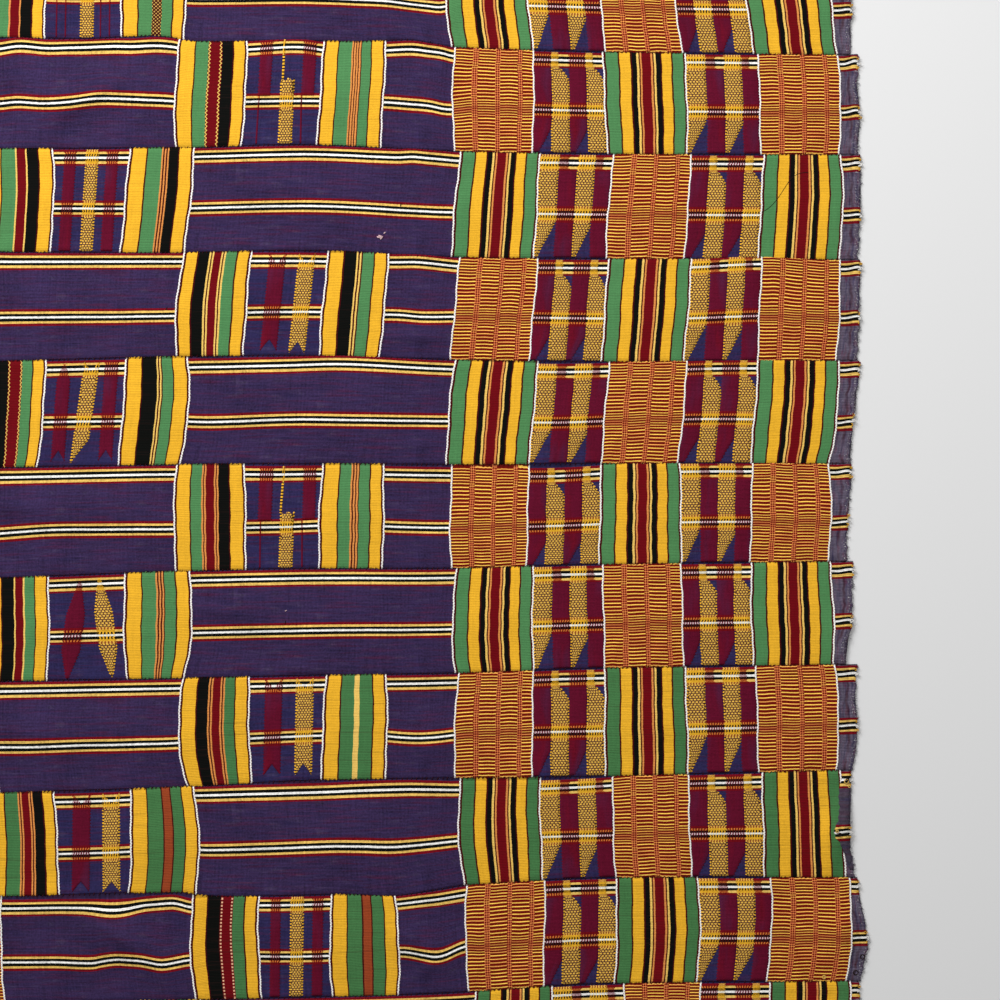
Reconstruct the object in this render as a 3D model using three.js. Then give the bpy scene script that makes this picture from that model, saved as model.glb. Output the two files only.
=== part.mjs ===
// A cut length of strip-woven kente cloth, lying flat with its right side up.
// Eleven narrow strips run along X and are sewn selvage to selvage across Y.
// Each strip ends at +X in a narrow hem that was rolled over by hand; the other ends are plainly cut.
// Millimetres, +Z up, the origin on the ground under the middle of the cloth.

import * as THREE from "three";
import { mergeVertices } from "three/addons/utils/BufferGeometryUtils.js";

// Driving dimensions of the cloth.
const STRIP_COUNT = 11;
const STRIP_WIDTH = 89;
const CLOTH_LENGTH = 777;
const CLOTH_THICKNESS = 1.2;
const SEAM_GAP = 0.3;

// The rolled hem at the +X end of every strip.
const HEM_WIDTH = 6;
const HEM_THICKNESS = 2.6;
const HEM_RISE = 2;

// Ground colour of the warp, as it looks in daylight.
const WARP_PURPLE = 0x3a2950;

// Where the drift of the seams is given, along X.
const SEAM_STATIONS = [-345, -194, -76, 33, 159, 369];

// How far each seam wanders from its straight line at those stations, +Y, from the top edge down.
const SEAM_DRIFT = [
  { seam: "top edge", drift: [4.6, 0.4, 1.3, -3.8, -8.0, -10.5] },
  { seam: "1 to 2", drift: [5.5, 1.3, 2.1, -2.9, -7.1, -9.7] },
  { seam: "2 to 3", drift: [0.4, 1.3, 3.8, -1.3, -3.8, -4.6] },
  { seam: "3 to 4", drift: [2.9, 2.1, 3.8, -1.3, -2.9, -3.8] },
  { seam: "4 to 5", drift: [-0.4, 3.8, 4.6, 1.3, -0.4, 0.4] },
  { seam: "5 to 6", drift: [-0.4, 2.1, 2.9, 2.1, 2.9, 2.9] },
  { seam: "6 to 7", drift: [-4.6, 1.3, 3.8, 3.8, 7.1, 9.7] },
  { seam: "7 to 8", drift: [-2.1, 0.4, 2.9, 4.6, 8.8, 12.2] },
  { seam: "8 to 9", drift: [-7.1, -2.1, 3.8, 5.5, 7.1, 12.2] },
  { seam: "9 to 10", drift: [-4.6, -1.3, -1.3, 3.8, 10.5, 11.3] },
  { seam: "10 to 11", drift: [-4.6, -2.9, -0.4, 2.9, 10.5, 13.0] },
  { seam: "bottom edge", drift: [-4.6, -1.3, 2.1, 5.5, 10.5, 13.9] },
];

// The parts of a strip's width that are stepped over, from its upper selvage to its lower one.
const ACROSS = [0, 0.12, 0.37, 0.63, 0.88, 1];

// The line that the hemmed ends wander about, and how far each strip reaches past it at those parts, +X.
const END_LINE = 373.8;
const END_DRIFT = [
  { strip: 1, drift: [5.0, 5.0, 1.3, 0.8, 0.0, 0.8] },
  { strip: 2, drift: [6.7, 6.7, 5.9, 8.0, 6.3, 7.1] },
  { strip: 3, drift: [8.4, 8.4, 8.0, 8.4, 7.1, 6.7] },
  { strip: 4, drift: [8.4, 8.4, 7.6, 7.6, 6.3, 5.5] },
  { strip: 5, drift: [8.0, 7.6, 4.2, 2.1, -0.4, 0.4] },
  { strip: 6, drift: [0.4, 0.4, -0.8, -2.1, -2.9, -2.1] },
  { strip: 7, drift: [2.1, 2.1, 1.7, 0.8, -5.0, -2.9] },
  { strip: 8, drift: [5.9, 5.0, 4.2, 5.9, 3.8, 2.5] },
  { strip: 9, drift: [0.4, 0.4, 0.0, -0.4, 2.5, 4.6] },
  { strip: 10, drift: [6.3, 6.7, 10.9, 14.7, 10.9, 8.4] },
  { strip: 11, drift: [7.6, 7.6, 7.6, 7.6, 5.0, 5.0] },
];

// The main creases, each a soft ridge: its middle, the turn of its crest from +X, its reach each way and its height.
const FOLDS = [
  { lies: "slanting over strip 2", x: -278, y: 352, turn: 32, length: 70, width: 26, height: 2.2 },
  { lies: "at a block corner, strip 2", x: 30, y: 376, turn: -53, length: 30, width: 20, height: 2.0 },
  { lies: "short, strip 4", x: 12, y: 155, turn: -5, length: 42, width: 22, height: 1.8 },
  { lies: "along strip 6", x: -295, y: 12, turn: 5, length: 85, width: 28, height: 2.4 },
  { lies: "above seam 6 to 7", x: -270, y: -34, turn: 0, length: 60, width: 22, height: 1.8 },
  { lies: "middle of strip 7", x: -156, y: -76, turn: -8, length: 60, width: 26, height: 2.2 },
  { lies: "end of strip 7", x: 366, y: -101, turn: 90, length: 34, width: 20, height: 2.6 },
  { lies: "along strip 8", x: -286, y: -177, turn: 3, length: 95, width: 28, height: 2.2 },
  { lies: "short, strip 8", x: 16, y: -189, turn: 10, length: 45, width: 24, height: 1.6 },
  { lies: "end of strip 9", x: 362, y: -265, turn: 80, length: 42, width: 20, height: 3.2 },
  { lies: "across seam 9 to 10", x: -312, y: -324, turn: 10, length: 50, width: 26, height: 3.0 },
  { lies: "slanting over strip 10", x: -249, y: -345, turn: -35, length: 62, width: 28, height: 4.6 },
  { lies: "pucker in strip 10", x: 9, y: -357, turn: -40, length: 44, width: 24, height: 4.0 },
  { lies: "end of strip 10", x: 366, y: -349, turn: 90, length: 36, width: 24, height: 3.4 },
];

// Between its seams a strip stands a little off the ground, more in some places than in others.
const CROWN_HEIGHT = 1.2;
const CROWN_WAVES = [
  { share: 0.3, length: 181, shift: 1.7 },
  { share: 0.2, length: 77, shift: 2.9 },
];

// How many even steps a strip's length takes, and the share of its width beside each seam that lies flat.
const STEPS_ALONG = 41;
const FLAT_SHARE = ACROSS[1];

// A smooth line through a value at each station, held level past the first and the last.
function smoothThrough(stations, values, at) {
  const last = stations.length - 1;
  if (at <= stations[0]) return values[0];
  if (at >= stations[last]) return values[last];
  const i = stations.findIndex((station, index) => index < last && at < stations[index + 1]);
  const slope = (j) => {
    const before = Math.max(j - 1, 0);
    const after = Math.min(j + 1, last);
    return (values[after] - values[before]) / (stations[after] - stations[before]);
  };
  const span = stations[i + 1] - stations[i];
  const t = (at - stations[i]) / span;
  const near = (1 + 2 * t) * (1 - t) ** 2;
  const far = t * t * (3 - 2 * t);
  const leaving = t * (1 - t) ** 2 * span * slope(i);
  const arriving = t * t * (t - 1) * span * slope(i + 1);
  return near * values[i] + far * values[i + 1] + leaving + arriving;
}

// The Y of a seam at x, seams counted from the top edge.
function seamY(seam, x) {
  const straight = (STRIP_COUNT / 2 - seam) * STRIP_WIDTH;
  return straight + smoothThrough(SEAM_STATIONS, SEAM_DRIFT[seam].drift, x);
}

// A hill of height 1 at 0 that reaches the ground smoothly at 1.
function hill(distance) {
  return distance >= 1 ? 0 : Math.cos((distance * Math.PI) / 2) ** 2;
}

// How high the underside of the cloth lies over the ground.
function lift(strip, x, y, share) {
  let height = 0;
  for (const fold of FOLDS) {
    const turn = THREE.MathUtils.degToRad(fold.turn);
    const alongCrest = (x - fold.x) * Math.cos(turn) + (y - fold.y) * Math.sin(turn);
    const offCrest = (y - fold.y) * Math.cos(turn) - (x - fold.x) * Math.sin(turn);
    height += fold.height * hill(Math.hypot(alongCrest / fold.length, offCrest / fold.width));
  }
  const fromFlat = (Math.min(share, 1 - share) - FLAT_SHARE) / (0.5 - FLAT_SHARE);
  let waves = 0.5;
  for (const wave of CROWN_WAVES) {
    waves += wave.share * Math.sin((2 * Math.PI * x) / wave.length + wave.shift * (strip + 1));
  }
  return height + CROWN_HEIGHT * waves * THREE.MathUtils.smoothstep(fromFlat, 0, 1);
}

// The steps along a strip, as distances back from its hemmed end: even, then close together at the hem.
function stepsBack() {
  const whole = CLOTH_LENGTH / 2 + END_LINE;
  const hem = [HEM_WIDTH + HEM_RISE, HEM_WIDTH, 0];
  const even = Array.from({ length: STEPS_ALONG }, (_, i) => THREE.MathUtils.lerp(whole, hem[0], i / STEPS_ALONG));
  return [...even, ...hem];
}

// One strip: a closed box of fine cells, moved point by point onto the lie of the cloth.
function stripGeometry(strip) {
  const steps = stepsBack();
  const alongCount = steps.length - 1;
  const acrossCount = ACROSS.length - 1;
  const box = new THREE.BoxGeometry(1, 1, 1, alongCount, acrossCount, 1);
  box.deleteAttribute("normal");
  box.deleteAttribute("uv");
  const geometry = mergeVertices(box);
  const points = geometry.attributes.position;
  for (let i = 0; i < points.count; i += 1) {
    const back = steps[Math.round((points.getX(i) + 0.5) * alongCount)];
    const column = Math.round((0.5 - points.getY(i)) * acrossCount);
    const share = ACROSS[column];
    const isTop = points.getZ(i) > 0;
    const fromCut = 1 - back / steps[0];
    const hemmedEnd = END_LINE + END_DRIFT[strip].drift[column];
    const x = THREE.MathUtils.lerp(-CLOTH_LENGTH / 2, hemmedEnd, fromCut);
    const upper = seamY(strip, x) - SEAM_GAP / 2;
    const lower = seamY(strip + 1, x) + SEAM_GAP / 2;
    const y = THREE.MathUtils.lerp(upper, lower, share);
    const thickness = back <= HEM_WIDTH ? HEM_THICKNESS : CLOTH_THICKNESS;
    points.setXYZ(i, x, y, lift(strip, x, y, share) + (isTop ? thickness : 0));
  }
  geometry.computeVertexNormals();
  return geometry;
}

const cloth = new THREE.Group();
for (let strip = 0; strip < STRIP_COUNT; strip += 1) {
  const cotton = new THREE.MeshStandardMaterial({ color: WARP_PURPLE, roughness: 0.9, metalness: 0 });
  const mesh = new THREE.Mesh(stripGeometry(strip), cotton);
  mesh.name = `strip_${String(strip + 1).padStart(2, "0")}`;
  cloth.add(mesh);
}

export default cloth;
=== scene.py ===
import math

import bpy
import numpy as np
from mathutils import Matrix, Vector


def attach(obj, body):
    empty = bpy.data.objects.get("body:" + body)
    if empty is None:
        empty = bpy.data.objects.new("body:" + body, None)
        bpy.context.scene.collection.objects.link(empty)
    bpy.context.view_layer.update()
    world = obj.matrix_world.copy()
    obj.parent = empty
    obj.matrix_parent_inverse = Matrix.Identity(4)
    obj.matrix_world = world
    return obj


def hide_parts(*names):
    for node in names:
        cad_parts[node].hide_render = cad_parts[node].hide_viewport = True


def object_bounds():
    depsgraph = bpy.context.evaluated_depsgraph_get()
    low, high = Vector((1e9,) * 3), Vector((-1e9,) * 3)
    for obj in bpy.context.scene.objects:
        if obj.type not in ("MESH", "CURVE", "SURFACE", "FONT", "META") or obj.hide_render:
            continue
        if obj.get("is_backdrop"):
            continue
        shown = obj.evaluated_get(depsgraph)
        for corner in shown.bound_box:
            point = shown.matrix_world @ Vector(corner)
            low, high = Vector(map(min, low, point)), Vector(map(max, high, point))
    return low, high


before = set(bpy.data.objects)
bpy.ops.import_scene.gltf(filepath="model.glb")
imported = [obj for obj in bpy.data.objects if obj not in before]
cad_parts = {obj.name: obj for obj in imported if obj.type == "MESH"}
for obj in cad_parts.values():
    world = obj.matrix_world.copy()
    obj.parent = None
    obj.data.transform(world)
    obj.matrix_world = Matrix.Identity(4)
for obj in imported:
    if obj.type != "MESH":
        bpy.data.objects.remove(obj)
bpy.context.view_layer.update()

# The lie of the cloth. Eleven narrow strips lie side by side on a flat surface with their right sides up.
# Their seams wander by some millimetres, the hemmed ends are uneven, and soft and thin creases stand up.
# Lengths are millimetres here, and become metres where a mesh is made.
STRIP_COUNT = 11
STRIP_WIDTH = 89.0
CLOTH_LENGTH = 777.0
CLOTH_THICKNESS = 1.2
MM = 0.001

SEAM_STATIONS = [-345, -194, -76, 33, 159, 369]
SEAM_DRIFT = {
    "top edge": [4.6, 0.4, 1.3, -3.8, -8.0, -10.5],
    "1 to 2": [5.5, 1.3, 2.1, -2.9, -7.1, -9.7],
    "2 to 3": [0.4, 1.3, 3.8, -1.3, -3.8, -4.6],
    "3 to 4": [2.9, 2.1, 3.8, -1.3, -2.9, -3.8],
    "4 to 5": [-0.4, 3.8, 4.6, 1.3, -0.4, 0.4],
    "5 to 6": [-0.4, 2.1, 2.9, 2.1, 2.9, 2.9],
    "6 to 7": [-4.6, 1.3, 3.8, 3.8, 7.1, 9.7],
    "7 to 8": [-2.1, 0.4, 2.9, 4.6, 8.8, 12.2],
    "8 to 9": [-7.1, -2.1, 3.8, 5.5, 7.1, 12.2],
    "9 to 10": [-4.6, -1.3, -1.3, 3.8, 10.5, 11.3],
    "10 to 11": [-4.6, -2.9, -0.4, 2.9, 10.5, 13.0],
    "bottom edge": [-4.6, -1.3, 2.1, 5.5, 10.5, 13.9],
}
END_LINE = 373.8
END_ACROSS = [0, 0.12, 0.37, 0.63, 0.88, 1]
END_DRIFT = {
    1: [5.0, 5.0, 1.3, 0.8, 0.0, 0.8],
    2: [6.7, 6.7, 5.9, 8.0, 6.3, 7.1],
    3: [8.4, 8.4, 8.0, 8.4, 7.1, 6.7],
    4: [8.4, 8.4, 7.6, 7.6, 6.3, 5.5],
    5: [8.0, 7.6, 4.2, 2.1, -0.4, 0.4],
    6: [0.4, 0.4, -0.8, -2.1, -2.9, -2.1],
    7: [2.1, 2.1, 1.7, 0.8, -5.0, -2.9],
    8: [5.9, 5.0, 4.2, 5.9, 3.8, 2.5],
    9: [0.4, 0.4, 0.0, -0.4, 2.5, 4.6],
    10: [6.3, 6.7, 10.9, 14.7, 10.9, 8.4],
    11: [7.6, 7.6, 7.6, 7.6, 5.0, 5.0],
}

# The creases: x, y, turn of the crest in degrees, reach along it, reach off it, height.
CREASES = {
    "slanting over strip 2": (-278, 352, 32, 70, 26, 2.2),
    "at a block corner, strip 2": (30, 376, -53, 30, 20, 2.0),
    "short, strip 4": (12, 155, -5, 42, 22, 1.8),
    "along strip 6": (-295, 12, 5, 85, 28, 2.4),
    "above seam 6 to 7": (-270, -34, 0, 60, 22, 1.8),
    "middle of strip 7": (-156, -76, -8, 60, 26, 2.2),
    "end of strip 7": (366, -101, 90, 34, 20, 2.6),
    "along strip 8": (-286, -177, 3, 95, 28, 2.2),
    "short, strip 8": (16, -189, 10, 45, 24, 1.6),
    "end of strip 9": (362, -265, 80, 42, 20, 3.2),
    "across seam 9 to 10": (-312, -324, 10, 50, 26, 3.0),
    "slanting over strip 10": (-249, -345, -35, 62, 28, 4.6),
    "thin crease, strip 2": (-266, 352, 34, 54, 6, 1.7),
    "thin crease at the block corner, strip 2": (32, 378, -41, 18, 6, 1.8),
    "thin crease below it, strip 2": (21, 329, -42, 26, 7, 1.5),
    "thin crease, strip 3": (-105, 280, 4, 46, 8, 1.5),
    "thin crease, strip 4": (8, 154, -3, 38, 7, 2.0),
    "thin crease above it, strip 4": (10, 193, -15, 26, 7, 1.2),
    "thin crease, strip 5": (-92, 116, 2, 44, 8, 1.3),
    "thin crease by the block, strip 5": (8, 63, 2, 32, 7, 1.2),
    "thin crease, strip 6": (-352, 14, -6, 64, 8, 2.1),
    "thin crease by the block, strip 6": (0, 6, -12, 26, 7, 1.6),
    "thin crease, strip 7": (-157, -76, -8, 34, 7, 2.0),
    "thin crease by the seam, strip 7": (-88, -124, 0, 50, 7, 1.1),
    "thin crease, strip 8": (-340, -178, -3, 54, 8, 1.8),
    "thin crease by the block, strip 8": (13, -168, -4, 32, 7, 1.1),
    "thin crease, strip 10": (-242, -348, -35, 40, 8, 2.4),
    "thin crease at the cut end, strip 10": (-368, -355, -8, 40, 8, 1.6),
    "thin crease in the pucker, strip 10": (6, -352, -38, 22, 7, 2.0),
    "thin crease below the pucker, strip 10": (14, -380, 35, 22, 7, 1.4),
    "pucker in strip 10": (9, -357, -40, 44, 24, 4.0),
    "end of strip 10": (366, -349, 90, 36, 24, 3.4),
}

# Between its seams a strip stands a little off the ground: each wave's share, its length and its shift per strip.
CROWN_HEIGHT = 1.2
CROWN_WAVES = [(0.3, 181, 1.7), (0.2, 77, 2.9)]
FLAT_SHARE = 0.12

# Beside some blocks two seams are drawn aside: how far at each x, in y.
SEAM_TUCK = {
    1: {-345: 0, -273: 0.6, -238: 3.2, -211: 5.0, -195: 3.6, -183: 0.8, -160: 0,
        -60: 0, -40: 0.5, -16: 2.7, 6: 4.3, 22: 2.2, 40: 0},
    9: {-186: 0, -165: -3.2, -122: -3.2, -63: -2.3, -40: -3.6, -13: -6.1, 8: -5.0, 50: 0},
}

# Where the stripes wander within a strip: at each x, how far the upper and the middle ones lie off, in y.
STRIPE_DRIFT = {
    1: {-340: (0, -1.3), -60: (0, -1.3), -16: (0, -2.9), 6: (0, -5.3), 22: (0, -5.0), 30: (0, -4.7), 45: (0, 0)},
    2: {-340: (-1.5, -1.3), -324: (1.2, 1.1), -302: (0, -0.5), -281: (0.5, -1.0), -260: (0.4, 0), -243: (0, 0.4),
        -227: (-0.8, 0.6), -206: (0, 0.2), -190: (0.6, 0), -160: (0, 0), -150: (0, 0), -131: (1.0, 0),
        -116: (1.8, 0), -100: (2.6, 0), -86: (2.4, 0), -68: (0.3, 0), -55: (0, 0), -16: (0, 0.3),
        6: (0.6, -0.8), 14: (1.0, -0.6), 23: (1.4, -0.8), 31: (1.5, -1.9), 38: (0.6, -2.0), 54: (0, 0)},
    3: {-30: (0, 0), -6: (0.6, 0), 6: (1.9, 0), 16: (1.6, 0), 28: (1.0, 0), 44: (0, 0)},
    4: {-330: (0, -2.1), -197: (0.6, -2.6), -150: (0, -1.0), -60: (-0.8, -0.4), -10: (1.2, -1.1),
        12: (2.4, -1.2), 50: (0, 0), 235: (0.8, 0), 300: (3.8, 2.0), 350: (0, 0)},
    5: {-330: (0, 0), -200: (-0.9, -1.4), -162: (-1.0, -2.9), -97: (0, -1.1), -50: (1.6, -1.2),
        40: (0, -0.6), 125: (-1.2, -1.6), 180: (0, 0), 280: (1.8, 1.2), 367: (0, -2.4)},
    6: {-340: (0, -1.7), -260: (0, -0.8), -200: (0, -2.1), -107: (-1.0, -2.0), -50: (-0.6, -0.8),
        24: (-1.1, -2.4), 125: (-2.6, -2.7), 180: (0, -1.4), 286: (1.0, -0.7), 367: (0, -2.2)},
    8: {-340: (0, 0), -207: (0, -1.4), -150: (0, 0), -30: (0, 0), 12: (0, -2.8), 50: (0, 0)},
    9: {-340: (0, -1.5), -288: (-1.2, -2.3), -238: (-1.2, -2.0), -180: (0.5, -0.5), -76: (-1.4, 0),
        0: (0, 0), 45: (-1.6, 0), 115: (-1.8, 0), 180: (0, 0)},
    10: {-340: (-2.2, -4.1), -297: (-2.4, -4.5), -262: (-3.4, -4.3), -254: (-3.8, -2.8), -243: (-4.2, -1.9),
         -232: (-3.8, -3.2), -220: (-2.4, -5.0), -205: (-1.3, -8.0), -194: (-0.9, -6.7), -181: (-3.4, -4.2),
         -160: (0, -0.4), -63: (0, -1.5), -7: (0.8, 1.4), 14: (0.6, 1.0), 27: (0, -0.5), 38: (0, -0.6), 52: (0, 0)},
}

# How much of each of the two drifts a place across the strip takes.
DRIFT_ACROSS = [0, 0.009, 0.17, 0.46, 0.68, 1]
DRIFT_SHARES = [[0, 1, 1, 0, 0, 0], [0, 0, 0, 1, 1, 0]]

# How far the upper and the middle stripes are drawn aside at the hem, in y, and where: shares of the strip's width,
# the reach across as a share, and the reach back from the end.
HEM_PULL = {1: (2.0, 1.0), 2: (2.8, 2.2), 3: (1.6, 1.0), 4: (1.8, 1.8), 5: (1.4, 1.6), 6: (1.8, 1.2),
            7: (1.6, 1.4), 8: (1.2, 1.0), 9: (0.8, 1.2), 10: (0.6, 0.4), 11: (1.0, 1.0)}
HEM_PULL_AT = (0.09, 0.58)
HEM_PULL_ACROSS = 0.07
HEM_PULL_REACH = 13
HEM_PULL_GROWS_OVER = 11

# The selvages lie lower than the rest of the strip, the cloth cockles a little, and its end is ragged. A ragged
# wave is its height, its turns in a strip's width and its shift per strip.
SELVAGE_ROUND = 2.4
SELVAGE_DROP = 0.7
COCKLE_HEIGHTS = (0.10, 0.12)
COCKLE_LENGTHS = (4.9, 11.3)
RAGGED_WAVES = [(0.5, 61, 1), (0.45, 143, 2.2), (0.3, 301, 0)]

# Places where the weave is pulled aside within a strip: strip, x, share of the width, reach each way, shift in y.
PULLS = {
    "hump in the middle stripes": (2, -256, 0.55, 44, 0.42, 2.6),
    "dip beside the hump": (2, -318, 0.55, 34, 0.4, -1.4),
    "hump in the upper stripes": (2, -246, 0.08, 60, 0.08, 1.0),
    "dip in the middle stripes": (10, 26, 0.62, 32, 0.36, -5.0),
    "rise before the block": (10, 48, 0.56, 18, 0.3, 1.4),
    "wave in the upper stripes": (10, -244, 0.15, 30, 0.14, -2.4),
    "wave in the middle stripes": (10, -258, 0.6, 40, 0.3, -1.6),
    "sag of the middle stripes": (8, -320, 0.6, 60, 0.3, -1.2),
    "bend at the block": (4, -5, 0.6, 22, 0.3, 1.0),
    "lift of the middle stripes": (6, -300, 0.6, 50, 0.3, 1.2),
}


def smooth_step(x):
    """0 below 0, 1 above 1, and between them three times the square less twice the cube."""
    x = np.clip(x, 0, 1)
    return x * x * (3 - 2 * x)


def smooth_through(stations, values, at):
    """A cubic through a value at each station, its slopes those of the neighbours' chord, level past the ends."""
    stations, values = np.asarray(stations, float), np.asarray(values, float)
    before = np.maximum(np.arange(len(stations)) - 1, 0)
    after = np.minimum(np.arange(len(stations)) + 1, len(stations) - 1)
    slope = (values[after] - values[before]) / (stations[after] - stations[before])
    at = np.clip(at, stations[0], stations[-1])
    i = np.clip(np.searchsorted(stations, at, side="right") - 1, 0, len(stations) - 2)
    span = stations[i + 1] - stations[i]
    t = (at - stations[i]) / span
    ends = (1 + 2 * t) * (1 - t) ** 2 * values[i] + t * t * (3 - 2 * t) * values[i + 1]
    return ends + t * (1 - t) ** 2 * span * slope[i] + t * t * (t - 1) * span * slope[i + 1]


def seam_y(seam, x):
    """The y of a seam at x, seams counted from the top edge: even steps of one width, plus the drift and the tuck."""
    y = (STRIP_COUNT / 2 - seam) * STRIP_WIDTH + smooth_through(SEAM_STATIONS, list(SEAM_DRIFT.values())[seam], x)
    tuck = SEAM_TUCK.get(seam, {0: 0, 1: 0})
    return y + smooth_through(list(tuck), list(tuck.values()), x)


def hill(far):
    """1 at 0 and 0 from 1 on: the squared cosine of a quarter turn."""
    return np.cos(np.minimum(far, 1) * math.pi / 2) ** 2


def lift(strip, x, y, v):
    """How high the underside lies: each crease is a hill drawn out along its crest, and between the seams stands a
    crown, whose height is a half and the waves."""
    height = np.zeros(np.broadcast(x, y, v).shape)
    for cx, cy, turn, length, width, tall in CREASES.values():
        a = math.radians(turn)
        along = (x - cx) * math.cos(a) + (y - cy) * math.sin(a)
        off = (y - cy) * math.cos(a) - (x - cx) * math.sin(a)
        height += tall * hill(np.hypot(along / length, off / width))
    waves = sum((share * np.sin(2 * math.pi * x / length + shift * strip) for share, length, shift in CROWN_WAVES), 0.5)
    return height + CROWN_HEIGHT * waves * smooth_step((np.minimum(v, 1 - v) - FLAT_SHARE) / (0.5 - FLAT_SHARE))


def end_x(strip, v):
    """The x of the hemmed end: a smooth line through its places, uneven by a thread or two."""
    ragged = sum(height * np.sin(turns * v + shift * strip) for height, turns, shift in RAGGED_WAVES)
    return END_LINE + smooth_through(END_ACROSS, END_DRIFT[strip], v) + ragged


def between_seams(strip, x, v):
    """The y at a share v of the way from a strip's upper seam to its lower one."""
    return seam_y(strip - 1, x) * (1 - v) + seam_y(strip, x) * v


def surface(strip, x, v):
    """The y and z of a strip's right side at x and at a share v of its width. The y is that between the seams, plus
    the pull at the hem, the drift of the stripes and the hills of the pulled places. The z is the lift and the
    thickness, less the drop of the selvage, plus the cockle: a product of two sines and a slanting one."""
    y = between_seams(strip, x, v)
    drawn = smooth_step((x - end_x(strip, v) + HEM_PULL_REACH) / HEM_PULL_GROWS_OVER)
    for place, shift in zip(HEM_PULL_AT, HEM_PULL[strip]):
        y = y + shift * drawn * np.exp(-(((v - place) / HEM_PULL_ACROSS) ** 2))
    if strip in STRIPE_DRIFT:
        for drift, shares in zip(zip(*STRIPE_DRIFT[strip].values()), DRIFT_SHARES):
            y = y + smooth_through(list(STRIPE_DRIFT[strip]), drift, x) * np.interp(v, DRIFT_ACROSS, shares)
    for pulled, px, pv, reach, across, shift in PULLS.values():
        if pulled == strip:
            y = y + shift * hill(np.hypot((x - px) / reach, (v - pv) / across))
    inside = smooth_step(np.minimum(v, 1 - v) * STRIP_WIDTH / SELVAGE_ROUND)
    cockle = COCKLE_HEIGHTS[0] * np.sin(x / COCKLE_LENGTHS[0] + 3 * strip) * np.sin(v * 15 + strip)
    cockle = cockle + COCKLE_HEIGHTS[1] * np.sin(x / COCKLE_LENGTHS[1] - 5 * v + strip)
    return y, lift(strip, x, y, v) + CLOTH_THICKNESS - SELVAGE_DROP * (1 - inside) + cockle * inside


# The dyed cotton yarn. Every part of the cloth is woven from the same few colours, and its threads show as fine
# ribs along the strip, crossed by the picks. Old dye varies a little from thread to thread.
DYES = {
    "P": "#37294D", "Y": "#F0B42E", "G": "#508753", "E": "#467847", "K": "#0B0C0A", "C": "#6E0812", "W": "#FFFDF8",
    "R": "#9A4424", "d": "#46080C", "y": "#F2C766", "o": "#E0914A", "m": "#600D28", "g": "#F0BE50",
    "b": "#3C1E1C", "r": "#760918", "h": "#655C6E", "i": "#2D2850", "q": "#D67A34", "p": "#ECC8CC",
    "s": "#E8844C", "u": "#72100A", "l": "#FFF2C4", "n": "#F2BA94",
}


def dye(letter, strength=1.0):
    """The colour of a yarn, from its daylight look to the even scale that light adds up in, times a strength."""
    shares = [int(DYES[letter][k : k + 2], 16) / 255 for k in (1, 3, 5)]
    return [strength * (c / 12.92 if c < 0.04045 else ((c + 0.055) / 1.055) ** 2.4) for c in shares] + [1.0]


class Field:
    """A number that changes over the surface, held by a node. Arithmetic on it adds Math nodes to its tree. over is
    1 past a limit, rest the fraction, whole the whole number below, size the absolute value, wave a sine of so many
    turns, held the number kept from 0 to 1, zigzag a swing from 0 to 1, and steep is times a gain, less a drop,
    and held."""

    def __init__(self, tree, socket):
        self.tree, self.socket = tree, socket

    def put(self, operation, *others):
        node = self.tree.nodes.new("ShaderNodeMath")
        node.operation = operation
        for place, value in enumerate((self, *others)):
            if isinstance(value, Field):
                self.tree.links.new(value.socket, node.inputs[place])
            else:
                node.inputs[place].default_value = value
        return Field(self.tree, node.outputs[0])

    def __add__(self, other):
        return self.put("ADD", other)

    def __sub__(self, other):
        return self.put("SUBTRACT", other)

    def __mul__(self, other):
        return self.put("MULTIPLY", other)

    def __rsub__(self, other):
        return self.put("MULTIPLY", -1).put("ADD", other)

    __radd__, __rmul__ = __add__, __mul__

    def over(self, limit):
        return self.put("GREATER_THAN", limit)

    def rest(self):
        return self.put("FRACT")

    def whole(self):
        return self.put("FLOOR")

    def size(self):
        return self.put("ABSOLUTE")

    def wave(self):
        return self.put("MULTIPLY", 2 * math.pi).put("SINE")

    def held(self):
        return self.put("MAXIMUM", 0).put("MINIMUM", 1)

    def zigzag(self):
        return self.put("PINGPONG", 1)

    def steep(self, gain, drop):
        return (self * gain - drop).held()


def parts(tree, socket):
    """The three numbers of a vector or a colour as fields."""
    apart = tree.nodes.new("ShaderNodeSeparateXYZ")
    tree.links.new(socket, apart.inputs[0])
    return [Field(tree, number) for number in apart.outputs]


def uv_fields(tree, name):
    """The two numbers of a UV map as fields."""
    uv = tree.nodes.new("ShaderNodeUVMap")
    uv.uv_map = name
    return parts(tree, uv.outputs[0])[:2]


def noise(tree, scale, detail=2.0, stretch=(1, 1, 1)):
    """Smooth noise from 0 to 1 on the cloth's own metres, drawn out by the stretch."""
    uv = tree.nodes.new("ShaderNodeUVMap")
    uv.uv_map = "cloth"
    placed = tree.nodes.new("ShaderNodeMapping")
    placed.inputs["Scale"].default_value = stretch
    speckle = tree.nodes.new("ShaderNodeTexNoise")
    speckle.inputs["Scale"].default_value = scale
    speckle.inputs["Detail"].default_value = detail
    tree.links.new(uv.outputs[0], placed.inputs[0])
    tree.links.new(placed.outputs[0], speckle.inputs["Vector"])
    return Field(tree, speckle.outputs[0])


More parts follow.
